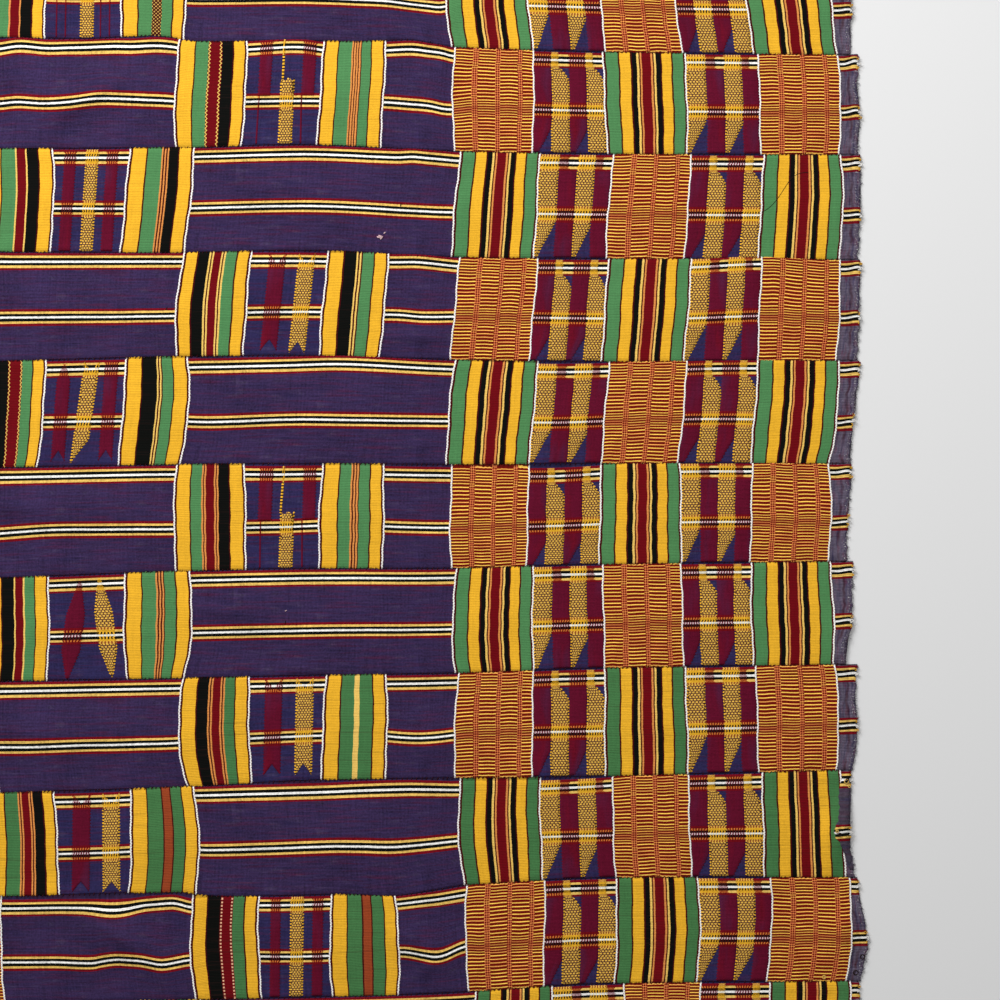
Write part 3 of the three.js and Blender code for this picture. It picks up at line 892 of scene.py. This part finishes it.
shared_bars = {
    "G": cotton("weft bars", paint_bars("bars"), 1.4, 0.9, 0.2),
    "E": cotton("weft bars with a deeper green", paint_bars("bars", "E"), 1.4, 0.9, 0.24),
}
pieces_of = {}
for strip in range(1, STRIP_COUNT + 1):
    x, rise, tooth, steps = lay_columns(strip)
    v = np.broadcast_to(ACROSS[:, None], x.shape)
    y, z = surface(strip, x, v)
    fall_off = np.interp(np.minimum(v, 1 - v), SELVAGE_ROWS, SELVAGE_MOVES)
    lower_tooth = np.roll(tooth, 1)
    y = y + fall_off * np.where(v < 0.5, tooth, -lower_tooth)
    z = z + rise * (1 - fall_off) + fall_off * TURN_RISE * np.clip(np.where(v < 0.5, tooth, lower_tooth), 0, 1)
    z = z + hem_rise(end_x(strip, v) - x) * (x > LINES[strip]["middle"][-1] + PAST_LAST_LINE)
    under_v = ACROSS[UNDER_ROWS][:, None]
    under_x = x[UNDER_ROWS]
    under_z = lift(strip, under_x, surface(strip, under_x, under_v)[0], under_v)
    corners, faces, column = closed_sheet(np.stack([x, y, z], -1), UNDER_ROWS, under_z)
    kinds_here = [kind for kind, _, _ in steps]
    green = "E" if strip >= DEEPER_GREEN_FROM else "G"
    palette = {"line": white_line, "ground": ground, "dashes": dashes, "heading": heading}
    palette |= {kind: field_ground for kind in ("inlay", "taper", "bulge")} | {"bars": shared_bars[green]}
    for which in ("first", "second"):
        chart = f"{strip} {which}"
        palette[which] = cotton(f"weft bars, strip {strip}, {which}", paint_bars(chart, green), 1.4, 0.9, 0.2)
    slots = list(dict.fromkeys(palette.values()))
    cloth = new_piece(f"woven_strip_{strip:02d}", corners, faces, slots)
    of_step = np.array([slots.index(palette[kind]) for kind in kinds_here])
    cloth.data.polygons.foreach_set("material_index", of_step[column].astype(np.int32))
    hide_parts(f"strip_{strip:02d}")
    pieces_of[strip] = [cloth]

    corner_of = face_corners(faces)
    step_of = np.repeat(column, [len(face) for face in faces])
    all_x, all_v = (np.concatenate([upper.ravel(), np.broadcast_to(under, under_x.shape).ravel()])[corner_of]
                    for upper, under in ((x, under_x), (v, under_v)))
    column_of = np.tile(np.arange(x.shape[1]), len(ACROSS) + len(UNDER_ROWS))[corner_of]
    u_left, u_right = (np.array([step[k] for step in steps]) for k in (1, 2))
    u = np.where(column_of == step_of, u_left[step_of], u_right[step_of])
    in_heading = np.array([kind == "heading" for kind in kinds_here])[step_of]
    u = np.where(in_heading, 1 - (end_x(strip, all_v) - all_x) / HEADING_SPAN, u)
    set_uv(cloth, "block", u, all_v)
    set_uv(cloth, "cloth", x[len(ACROSS) // 2][column_of] * MM, all_v * STRIP_WIDTH * MM)


# The inlay. Extra golden and maroon wefts are laid in by hand over the ground, float on the right side and turn back
# at the edge of each figure, so that a figure stands up by half a millimetre and has small beads along its sides.
# A figure thinner than the limit has no beads. The border is the width over which it rises.
BEAD_PITCH = 2.6
BEAD_OUT = 0.62
FIGURE_RISE, THIN_RISE = 0.42, 0.25
ABOVE_GROUND = 0.06
SUNK = 0.3
BORDER = 0.9
THIN_FIGURE = 5
LEAST_WIDTH = 0.3


def dotted_stripes(tree, yarn, beside, afloat):
    """The warp stripes of a figure, dotted along the strip: a stripe has one colour beside a float and another on it.
    Gives the colour and a field that is 1 between the stripes."""
    along, across = uv_fields(tree, "cloth")
    at = wavering_v(tree)
    low, open_cloth = bands(at, warp_stops(yarn, beside))
    high, _ = bands(at, warp_stops(yarn, afloat))
    dots = (along * 500 + across * 40 + noise(tree, 60, 0.0) * 0.8).rest().over(0.5)
    return blend_colours(dots, low, high), open_cloth


def paint_golden(tree):
    """Short golden floats over a dark ground, set like bricks in rows along the strip, the dotted stripes, and bright
    beads along the sides."""
    along, across = uv_fields(tree, "cloth")
    edge = tree.nodes.new("ShaderNodeAttribute")
    edge.attribute_name = "edge"
    inward = Field(tree, edge.outputs["Fac"])
    row = across * 500
    brick = (along * 430 + row.whole() * 0.5 + noise(tree, 60, 1.0) * 0.8).rest()
    lit = row.rest().over(0.32) * brick.over(0.34)
    body = blend_colours(lit, dye("b", 2.2), dye("g"))
    beside, afloat = {"r": "R", "y": "Y"}, {"r": "g", "y": "Y", "K": "Y", "W": "l"}
    stitched, open_cloth = dotted_stripes(tree, "g", beside, afloat)
    colour = blend_colours(open_cloth.over(0.5), stitched, body)
    gap = (across * (1000 / BEAD_PITCH)).rest().over(0.56)
    rim = blend_colours(gap, dye("Y", 1.15), dye("b", 0.4))
    at_rim = (1.4 - inward).held().over(0.3) * open_cloth
    return blend_colours(at_rim, colour, rim), lit * 0.7


def paint_maroon(tree):
    """Maroon floats with purple ones among them, and the warp stripes dotted orange and pink."""
    along, _ = uv_fields(tree, "cloth")
    beside, afloat = {"y": "q", "W": "p"}, {"r": "C", "y": "C", "K": "d", "W": "m"}
    stripes, open_cloth = dotted_stripes(tree, "m", beside, afloat)
    purple = noise(tree, 1, 2.0, (70, 16, 1)).steep(4, 2.1) * open_cloth * 0.5
    reddish = noise(tree, 1, 2.0, (90, 22, 1)).steep(5, 2.9) * open_cloth * 0.5
    colour = blend_colours(purple, stripes, dye("P"))
    return blend_colours(reddish, colour, dye("r")), (along * 900).wave() * 0.2


golden_inlay = cotton("golden inlay", paint_golden, 1.1, 1.2, 0.3, 0.5)
maroon_inlay = cotton("maroon inlay", paint_maroon, 1.1, 0.8, 0.36, 0.35)

# Figures of the two repeated blocks, in shares of the block: yarn, left side, right side, the right side beside the
# upper selvage, the v from which it tapers, and where its tip meets the lower selvage.
REPEATED = {
    "taper": [
        ("golden", 0.0, 0.27, 0.27, 0.64, 0.03),
        ("maroon", 0.27, 0.525, 0.40, 1.0, 0.0),
        ("golden", 0.525, 0.775, 0.775, 0.70, 0.56),
        ("maroon", 0.775, 1.0, 0.88, 1.0, 0.0),
    ],
    "bulge": [
        ("maroon", 0.0, 0.25, 0.25, 0.76, 0.07),
        ("golden", 0.25, 0.505, 0.355, 1.0, 0.0),
        ("maroon", 0.505, 0.755, 0.755, 0.76, 0.57),
        ("golden", 0.755, 1.0, 0.865, 1.0, 0.0),
    ],
}
CUT_BELOW = 0.15

# Figures of the one-off blocks, by strip: yarn, the middle's x at the upper and lower end, the width, the shares of
# the strip where it starts and stops, and how the two ends are made where they aren't plain. fork is two points with
# a notch between, leaf runs to one point, ragged is frayed, and slant is cut away on its right side.
FIGURES = {
    1: [("maroon", (-288, -288.5), 8, (0, 0.5)), ("maroon", (-292.3, -293), 1.3, (0.5, 1)),
        ("maroon", (-284.8, -285.4), 1.3, (0.5, 1)), ("golden", (-266, -267.5), 11, (0, 1)),
        ("maroon", (-251, -251.6), 8, (0, 0.5)), ("maroon", (-255.4, -256), 1.3, (0.5, 1)),
        ("maroon", (-247.8, -248.4), 1.3, (0.5, 1))],
    2: [("maroon", (-115.5, -118.5), 10.5, (0, 0.53)), ("maroon", (-122.7, -125.2), 1.5, (0.53, 1)),
        ("golden", (-101, -102.6), 2, (0, 0.38)), ("golden", (-98.5, -101), 11.5, (0.375, 1), "ragged"),
        ("maroon", (-79, -82), 11, (0, 0.53)), ("maroon", (-87, -87.8), 1.5, (0.53, 1))],
    3: [("maroon", (-280.6, -286.4), 10, (0, 1)), ("golden", (-262.3, -268), 10.5, (0, 1)),
        ("maroon", (-245.3, -251), 10, (0, 1))],
    4: [("maroon", (-106.5, -115), 14, (0, 0.955), "fork", "fork"),
        ("golden", (-82, -91.2), 13.6, (0, 0.98), "fork", "fork")],
    5: [("maroon", (-286, -292), 11.5, (0.04, 0.96), "short leaf", "fork"),
        ("golden", (-262.5, -275), 13, (0, 0.97), "fork", "slant"),
        ("maroon", (-246, -252), 11.5, (0, 0.96), "plain", "fork")],
    6: [("maroon", (-116, -118), 11.5, (0, 0.52)), ("maroon", (-121.5, -122), 1.5, (0.52, 1)),
        ("golden", (-101.4, -104.5), 2, (0, 0.45)), ("golden", (-98.8, -100.5), 11.5, (0.445, 1), "ragged"),
        ("maroon", (-79.6, -81), 11, (0, 0.52)), ("maroon", (-86.4, -86.6), 1.5, (0.52, 1))],
    7: [("maroon", (-273, -284), 16, (0.06, 1), "leaf", "leaf"),
        ("golden", (-257, -246), 15, (0.04, 0.98), "leaf", "leaf")],
    8: [("maroon", (-110, -112), 14.5, (0, 0.94), "fork", "fork"),
        ("golden", (-84, -85.6), 14.5, (0, 0.95), "fork", "fork")],
    9: [("maroon", (-271.5, -272.5), 15, (0, 0.98), "fork", "fork"),
        ("golden", (-247, -246.5), 14.3, (0, 0.99), "fork", "fork")],
    10: [("maroon", (-108.5, -109.5), 8.5, (0, 1)), ("golden", (-90.5, -91.5), 11, (0, 1)),
         ("maroon", (-73, -74), 9, (0, 1))],
    11: [("maroon", (-276, -277), 10.5, (0, 1)), ("golden", (-257, -258), 12, (0, 1)),
         ("maroon", (-239, -240), 10.5, (0, 1))],
}
NOTCH = {"fork": 0.11}
POINT = {"leaf": 0.4, "short leaf": 0.2}


def floated(strip, left, right, top, bottom, beaded):
    """One figure: its rows run from top(u) to bottom(u) across the strip, its columns from left(v) to right(v).
    A saw tooth moves the beaded sides out and in, and the figure stands up by a rounded step at its border."""
    u = np.array([0, 0.09, 0.32, 0.5, 0.68, 0.91, 1.0]) if beaded else np.array([0, 0.5, 1.0])
    first, last = float(top(0.0)), float(bottom(0.0))
    teeth = (np.arange(2 * STRIP_WIDTH // BEAD_PITCH) / 2 + 0.25) * BEAD_PITCH / STRIP_WIDTH
    t = (teeth - first) / (last - first) if beaded else np.linspace(0, 1, 31)
    u, t = np.meshgrid(u, np.concatenate([[0], t[(t > 0.01) & (t < 0.99)], [1]]))
    v = np.clip(top(u) + t * (bottom(u) - top(u)), 0.004, 0.996)
    saw = BEAD_OUT * np.sin(2 * math.pi * v * STRIP_WIDTH / BEAD_PITCH) if beaded else 0.0
    low, high = left(v) - saw, right(v) + saw
    wide = np.maximum(high - low, LEAST_WIDTH)
    x, edge = low + u * wide, np.minimum(u, 1 - u) * wide
    y, z = surface(strip, x, v)
    rise = (FIGURE_RISE if beaded else THIN_RISE) * smooth_step(edge / BORDER)
    rise = rise * smooth_step(np.minimum(t, 1 - t) * 30)
    corners, faces, _ = closed_sheet(np.stack([x, y, z + ABOVE_GROUND + rise], -1), list(range(len(t))), z - SUNK)
    nominal = np.mean(left(v[:, :1])) + u * np.mean(right(v[:, :1]) - left(v[:, :1]))
    return corners, faces, [np.tile(values.ravel(), 2) for values in (u, v, nominal, edge)]


def one_off(xs, width, shares, above="plain", below="plain"):
    """The four borders of a one-off figure. A fork's notch and a leaf's point are straight-sided, and a slanted end
    falls away from its right side over the last quarter."""
    (x0, x1), (v0, v1) = xs, shares

    def down(v):
        return (v - v0) / (v1 - v0)

    def narrowed(v):
        full = np.minimum(1, 0.15 + down(v) / POINT[above]) if above in POINT else np.ones_like(v)
        return np.minimum(full, 0.1 + (1 - down(v)) / 0.33) if below == "leaf" else full

    def slanted(v):
        return 2 * np.clip((v - 0.75) / (v1 - 0.75), 0, 0.93) if below == "slant" else 0.0

    def middle(v):
        return x0 + (x1 - x0) * (v - v0) / (v1 - v0)

    def notch(end, u):
        return NOTCH.get(end, 0) * (1 - np.abs(2 * u - 1))
    return (
        lambda v: middle(v) - width / 2 * narrowed(v),
        lambda v: middle(v) + width / 2 * (narrowed(v) - slanted(v)),
        lambda u: v0 + 0.012 * (v0 == 0) + notch(above, u) + 0.02 * (above == "ragged") * np.cos(u * 21),
        lambda u: v1 - 0.012 * (v1 == 1) - notch(below, u),
    )


def repeated(strip, number, yarn, left, right, cut, taper_from, tip):
    """The four borders of a figure in a repeated block that starts at a white line of the strip. Its right side
    steps out at the cut, rounded on a golden figure, and runs straight to the tip."""
    def place(share, v):
        a, b = (line_x(strip, number + k, v) for k in (0, 1))
        return a + LINE_HALF_WIDTH + share * (b - a - 2 * LINE_HALF_WIDTH)

    def right_share(v):
        rounded = yarn == "golden" and cut < right
        grown = np.sin(np.clip((v - CUT_BELOW) / (0.17 if rounded else 0.02), 0, 1) * math.pi / 2)
        fall = np.clip((v - taper_from) / max(1 - taper_from, 1e-6), 0, 1)
        return cut + (right - cut) * grown + (tip - right) * fall
    return (
        lambda v: place(left, v),
        lambda v: place(right_share(v), v),
        lambda u: 0.012 + 0 * u,
        lambda u: 0.99 + 0 * u,
    )


for strip in range(1, STRIP_COUNT + 1):
    made = [(yarn, *floated(strip, *one_off(xs, width, *rest), width > THIN_FIGURE))
            for yarn, xs, width, *rest in FIGURES[strip]]
    for number, kind in enumerate(ORDER["odd" if strip % 2 else "even"]):
        for yarn, *shares in REPEATED.get(kind, []):
            made.append((yarn, *floated(strip, *repeated(strip, number - 1, yarn, *shares), True)))
    corners, faces, index, count = [], [], [], 0
    for yarn, points, polygons, _ in made:
        corners.append(points)
        faces += [[corner + count for corner in face] for face in polygons]
        index += [0 if yarn == "golden" else 1] * len(polygons)
        count += len(points)
    inlay = new_piece(f"inlay_{strip:02d}", np.concatenate(corners), faces, [golden_inlay, maroon_inlay])
    inlay.data.polygons.foreach_set("material_index", index)
    u, v, nominal, edge = (np.concatenate([values[k] for *_, values in made]) for k in range(4))
    corner_of = face_corners(faces)
    set_uv(inlay, "block", u[corner_of], v[corner_of])
    set_uv(inlay, "cloth", nominal[corner_of] * MM, v[corner_of] * STRIP_WIDTH * MM)
    inlay.data.attributes.new("edge", "FLOAT", "POINT").data.foreach_set("value", edge.astype(np.float32))
    pieces_of[strip].append(inlay)


# The seams. The selvages are sewn edge to edge with dark thread, in small slanting stitches over both edges, from
# just inside the cut end up to the rolled hem.
STITCH_PITCH = 4.3
SEWN_FROM, SEWN_TO = -CLOTH_LENGTH / 2 + 3, 366
STITCH_HEIGHT = 0.55
STITCH_RADIUS = 0.26
YARN_SHEEN = 0.2


def paint_thread(tree):
    """Dark brown sewing thread with a paler twist."""
    place = tree.nodes.new("ShaderNodeTexCoord")
    twist = tree.nodes.new("ShaderNodeTexWave")
    twist.inputs["Scale"].default_value = 900
    tree.links.new(place.outputs["Object"], twist.inputs["Vector"])
    return blend_colours(Field(tree, twist.outputs[1]) * 0.5, dye("d", 0.5), dye("m", 0.6))


def plain_yarn(name, paint):
    """A yarn that is worked loose of the weave: its colour comes from paint alone."""
    material = bpy.data.materials.new(name)
    material.use_nodes = True
    shader = material.node_tree.nodes["Principled BSDF"]
    shader.inputs["Roughness"].default_value = COTTON_ROUGHNESS
    shader.inputs["Specular IOR Level"].default_value = YARN_SHEEN
    material.node_tree.links.new(paint(material.node_tree), shader.inputs["Base Color"])
    return material


def tubes(name, paths, radius, sides, material):
    """A piece of tubes about many paths of the same count of points, closed at their ends: each ring of corners
    stands square to its path."""
    count, length = paths.shape[:2]
    way = np.gradient(paths, axis=1)
    way /= np.linalg.norm(way, axis=-1, keepdims=True) + 1e-9
    aside = np.cross(way, [0, 0, 1.0])
    aside /= np.linalg.norm(aside, axis=-1, keepdims=True) + 1e-9
    above = np.cross(aside, way)
    turn = np.arange(sides) * 2 * math.pi / sides
    ring = aside[:, :, None] * np.cos(turn)[:, None] + above[:, :, None] * np.sin(turn)[:, None]
    corners = (paths[:, :, None] + ring * radius).reshape(-1, 3)
    grid = np.arange(count * length * sides).reshape(count, length, sides)
    after = np.roll(grid, -1, axis=2)
    walls = np.stack([grid[:, :-1], after[:, :-1], after[:, 1:], grid[:, 1:]], -1).reshape(-1, 4).tolist()
    return new_piece(name, corners, walls + grid[:, 0, ::-1].tolist() + grid[:, -1].tolist(), [material])


paths = []
for seam in range(1, STRIP_COUNT):
    x = np.arange(SEWN_FROM, SEWN_TO, STITCH_PITCH)
    x = x + rng.uniform(-0.7, 0.7, len(x))
    along = np.linspace(-1, 1, 5)
    px = x[:, None] + along * rng.uniform(0.2, 0.9, len(x))[:, None]
    py = seam_y(seam, px) + along * rng.uniform(0.9, 1.6, len(x))[:, None]
    base = lift(seam, px, py, np.ones_like(px)) + STITCH_HEIGHT
    paths.append(np.stack([px, py, base + STITCH_HEIGHT * (1 - np.abs(along) ** 3)], -1))
tubes("seam_stitches", np.concatenate(paths), STITCH_RADIUS, 4, plain_yarn("dark sewing thread", paint_thread))


# The hemmed ends. Where the stripes of the warp reach the end, their yarns bunch into small loops, and short
# fibres stand out all along both raw edges.
def paint_loop(letter):
    """One yarn colour, a little uneven along the thread."""
    def paint(tree):
        place = tree.nodes.new("ShaderNodeTexCoord")
        speckle = tree.nodes.new("ShaderNodeTexNoise")
        speckle.inputs["Scale"].default_value = 900
        tree.links.new(place.outputs["Object"], speckle.inputs["Vector"])
        return blend_colours(Field(tree, speckle.outputs[0]) * 0.5, dye(letter), dye("b"))
    return paint


# The loops of each group of stripes: yarn, its stripe in the group, how far it lies past the stripe's middle as a
# share of the width, and its reach.
LOOP_YARNS = {"white": "W", "yellow": "Y", "red": "r"}
LOOPS = [("white", 3, 0, 2.6), ("yellow", 1, 0, 1.9), ("yellow", 5, 0, 1.7), ("red", 0, 0, 1.0),
         ("white", 3, 0.008, 1.4)]
LOOP_ROOT, LOOP_LEVEL, LOOP_ARCH = 1.6, 1.5, 0.7
LOOP_RADIUS, FIBRE_RADIUS = 0.36, 0.13
FIBRES_PER_STRIP = 110

loops = {yarn: [] for yarn in LOOP_YARNS}
fibres = []
for strip in range(1, STRIP_COUNT + 1):
    for edges in STRIPE_EDGES.values():
        for yarn, stripe, past, reach in LOOPS:
            turn = np.linspace(0, math.pi, 9)
            wide = rng.uniform(0.7, 1.15)
            place = (edges[stripe] + edges[stripe + 1]) / 2 + past
            v = place + (np.cos(turn) * wide + rng.uniform(-0.5, 0.5)) / STRIP_WIDTH
            x = end_x(strip, v) - LOOP_ROOT + np.sin(turn) * (reach + rng.uniform(0, 1.5))
            y = between_seams(strip, x, v)
            loops[yarn].append(np.stack([x, y, lift(strip, x, y, v) + LOOP_LEVEL + LOOP_ARCH * np.sin(turn)], -1))
    for n in range(FIBRES_PER_STRIP):
        v = rng.uniform(0.01, 0.99)
        cut_end = n % 3 == 0
        x0 = -CLOTH_LENGTH / 2 + 0.8 if cut_end else float(end_x(strip, np.array(v))) - 1.0
        s = np.linspace(0, 1, 4)
        x = x0 + (-1 if cut_end else 1) * s * rng.uniform(1.2, 3.2)
        y = between_seams(strip, x, v) + rng.uniform(-1.6, 1.6) * s**2
        z = lift(strip, x, y, v) + rng.uniform(0.5, 1.9) + rng.uniform(-0.4, 0.6) * s
        fibres.append(np.stack([x, y, z], -1))
for yarn, paths in loops.items():
    material = plain_yarn(f"{yarn} loop yarn", paint_loop(LOOP_YARNS[yarn]))
    tubes(f"hem_loops_{yarn}", np.stack(paths), LOOP_RADIUS, 5, material)
tubes("edge_fibres", np.stack(fibres), FIBRE_RADIUS, 3, plain_yarn("grey purple fibre", paint_loop("h")))


# The turned hem. On strip 9 the hem has rolled over once more onto the right side, over the last white line, and
# shows the worn underside of the heading, its grey purple darkened as painted shade. Its inner edge is given as the x
# at each share v of the width.
TURNED_FROM = {0.03: 367.6, 0.1: 366.8, 0.15: 364.6, 0.2: 364.0, 0.35: 364.2, 0.46: 363.6, 0.5: 361.4,
               0.56: 359.8, 0.63: 361.0, 0.68: 365.0, 0.75: 367.8, 0.82: 370.6, 0.93: 373.2}
TURNED_STRIP = 9
TURNED_HEIGHT = 1.1
TURNED_INSIDE, TURNED_ABOVE = 0.4, 0.05
first_v, last_v = min(TURNED_FROM), max(TURNED_FROM)
u, v = np.meshgrid(np.linspace(0, 1, 13), np.linspace(first_v, last_v, 73))
low = np.interp(v, list(TURNED_FROM), list(TURNED_FROM.values())) + 0.35 * np.sin(v * 97) + 0.25 * np.sin(v * 41)
high = end_x(TURNED_STRIP, v) - TURNED_INSIDE
x = low + u * (high - low)
y, z = surface(TURNED_STRIP, x, v)
z = z + hem_rise(end_x(TURNED_STRIP, v) - x) + TURNED_ABOVE
roll = np.sqrt(np.clip(1 - (2 * u - 1) ** 4, 0, 1)) * smooth_step(np.minimum(v - first_v, last_v - v) / 0.03)
corners, faces, _ = closed_sheet(np.stack([x, y, z + TURNED_HEIGHT * roll], -1), list(range(len(v))), z - SUNK)
# The underside's grey purple, at 0.54 strength, is darkened as painted shade.
turned = new_piece("turned_hem_09", corners, faces, [
    cotton("turned hem, warp stripes", paint_ground("h", 0.54), 1.1, 1.0, 0.5, 0.5)])
u, v = (np.tile(values.ravel(), 2)[face_corners(faces)] for values in (u, v))
set_uv(turned, "block", 0.76 + 0.18 * u, v)
set_uv(turned, "cloth", (366 + 7 * u) * MM, v * STRIP_WIDTH * MM)
pieces_of[TURNED_STRIP].append(turned)


# Small things on the cloth: a dark hair across strip 3, specks of pale lint, small knots drawn in dark thread and pale
# loops of thread at the hems of strips 9 and 10, and short dark nips where a yarn was caught. The knots at the hem of
# strip 10 are loops of grey purple yarn, and their dark thread is painted shade.
def drop_on(strip, x, y, above):
    """The height for a thing that lies on a strip at x and y."""
    upper, lower = seam_y(strip - 1, x), seam_y(strip, x)
    return surface(strip, x, (y - upper) / (lower - upper))[1] + above


def ring(strip, x, y, size, turns, above):
    """A path that goes a little more than once round a place and closes in by an eighth as it goes."""
    a = np.linspace(0, 2 * math.pi * turns, 15)
    px, py = x + size * np.cos(a) * (1 - 0.12 * a / a[-1]), y + size * 0.9 * np.sin(a)
    return np.stack([px, py, drop_on(strip, px, py, above + 0.2 * np.sin(a * 0.5))], -1)


def bit(strip, x, y, dx, dy, above, arch=0.0):
    """A short straight path about a place, dx and dy each way, its middle higher by the arch."""
    s = np.linspace(-1, 1, 5)
    px, py = x + dx * s, y + dy * s
    return np.stack([px, py, drop_on(strip, px, py, above + arch * (1 - s * s))], -1)


HAIR = [(299.9, 258.4), (306.6, 263.0), (313.3, 270.5), (319.2, 279.4), (323.4, 285.6), (328.0, 289.6),
        (333.5, 291.6), (339.0, 292.0)]
hair_x, hair_y = (smooth_through(np.linspace(0, 1, len(HAIR)), places, np.linspace(0, 1, 40)) for places in zip(*HAIR))
hair = np.stack([hair_x, hair_y, drop_on(3, hair_x, hair_y, 0.35)], -1)

# Knots and pale rings: strip, x, y, size, turns, height over the cloth. Nips: strip, x, y. Lint: strip, x, y.
# Painted shade: the knots are drawn in the dark thread, where at strip 10 they are grey purple loops in shadow.
KNOTS = [(10, 384.3, -366.8, 2.0, 1.15, 0.9), (10, 378.7, -380.1, 2.1, 1.15, 0.9), (9, 364.8, -263.6, 1.2, 1.15, 2.4),
         (9, 371.6, -217.6, 1.0, 1.15, 2.6)]
PALE_RINGS = [(10, 352.0, -384.0, 1.5, 1.1, 0.5), (9, 362.4, -261.0, 1.1, 1.1, 2.2), (9, 370.6, -219.4, 1.9, 1.2, 2.6),
              (9, 373.0, -223.6, 1.0, 1.1, 2.4)]
NIPS = [(1, 21.0, 401.4), (3, -3.6, 264.8), (4, -200.2, 177.6), (8, 19.0, -86.6), (7, -100.4, -85.6),
        (6, -175.0, -52.0)]
LINT = [(3, -17.2, 241.0), (3, -17.0, 241.4), (7, -100.0, -76.2)]
LINT_BALL = (-21.0, 237.4)
BALL_FIBRES, BALL_REACH = 16, 1.7
lint = []
for n in range(BALL_FIBRES):
    a, far = rng.uniform(0, 2 * math.pi), rng.uniform(0, BALL_REACH)
    cx, cy = LINT_BALL[0] + far * math.cos(a), LINT_BALL[1] + far * math.sin(a) * 0.7 + (0.8 if far < 0.6 else 0.0)
    turn = rng.uniform(0, math.pi)
    lint.append(bit(3, cx, cy, 1.3 * math.cos(turn), 1.0 * math.sin(turn), 0.3 + rng.uniform(0, 0.5)))
lint += [bit(*place, 0.7, 0.4, 0.35) for place in LINT]
dark_thread = plain_yarn("dark stray thread", paint_loop("K"))
pale_lint = plain_yarn("pale lint", paint_loop("p"))
for name, paths, thick, material in (
    ("loose_hair", [hair], 0.24, dark_thread),
    ("hem_knots", [ring(*knot) for knot in KNOTS], 0.5, dark_thread),
    ("seam_loop", [ring(*loop) for loop in PALE_RINGS], 0.42, plain_yarn("pale loop", paint_loop("y"))),
    ("caught_nips", [bit(*nip, 0.25, 1.1, 0.15, 0.2) for nip in NIPS], 0.42, dark_thread),
    ("lint", lint, 0.4, pale_lint),
):
    tubes(name, np.stack(paths), thick, 5, material)


# The surface it lies on, the light and the camera. The surface is plain and pale, the light a large soft one from
# the upper left with an even fill, and the camera looks straight down on the hemmed end of the cloth.
FLOOR_SIZE, FLOOR_DROP = 12, 0.0003
PAPER_COLOUR, PAPER_ROUGHNESS = (0.8, 0.8, 0.8, 1), 0.95
ROOM_COLOUR, ROOM_STRENGTH = (1, 1, 1, 1), 0.168
bpy.ops.mesh.primitive_plane_add(size=FLOOR_SIZE, location=(0, 0, -FLOOR_DROP))
floor = bpy.context.object
floor.name = "floor"
floor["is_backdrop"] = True
paper = bpy.data.materials.new("pale paper")
paper.use_nodes = True
paper.node_tree.nodes["Principled BSDF"].inputs["Base Color"].default_value = PAPER_COLOUR
paper.node_tree.nodes["Principled BSDF"].inputs["Roughness"].default_value = PAPER_ROUGHNESS
floor.data.materials.append(paper)

world = bpy.data.worlds.new("room")
world.use_nodes = True
world.node_tree.nodes["Background"].inputs["Color"].default_value = ROOM_COLOUR
world.node_tree.nodes["Background"].inputs["Strength"].default_value = ROOM_STRENGTH
bpy.context.scene.world = world
bpy.context.scene.view_settings.view_transform = "Standard"


def soft_light(name, place, side, power):
    """A square area light that faces the cloth."""
    lamp = bpy.data.lights.new(name, "AREA")
    lamp.size = side
    lamp.energy = power
    holder = bpy.data.objects.new(name, lamp)
    holder.location = place
    holder.rotation_mode = "QUATERNION"
    holder.rotation_quaternion = Vector([-c for c in place]).to_track_quat("-Z", "Y")
    bpy.context.scene.collection.objects.link(holder)


soft_light("window", place=(-1.0, 1.75, 1.6), side=1.3, power=67)
soft_light("fill", place=(0.5, 0.9, 2.6), side=1.6, power=22.5)

VIEW_CENTRE = (0.0798, 0.0168)
VIEW_WIDTH = 0.840
CAMERA_HEIGHT = 2.5
CLOTH_LEVEL = 0.0015
SENSOR_WIDTH = 36
lens = bpy.data.cameras.new("camera")
lens.sensor_width = SENSOR_WIDTH
lens.lens = SENSOR_WIDTH * (CAMERA_HEIGHT - CLOTH_LEVEL) / VIEW_WIDTH
camera = bpy.data.objects.new("camera", lens)
camera.location = (*VIEW_CENTRE, CAMERA_HEIGHT)
bpy.context.scene.collection.objects.link(camera)
bpy.context.scene.camera = camera

low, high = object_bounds()
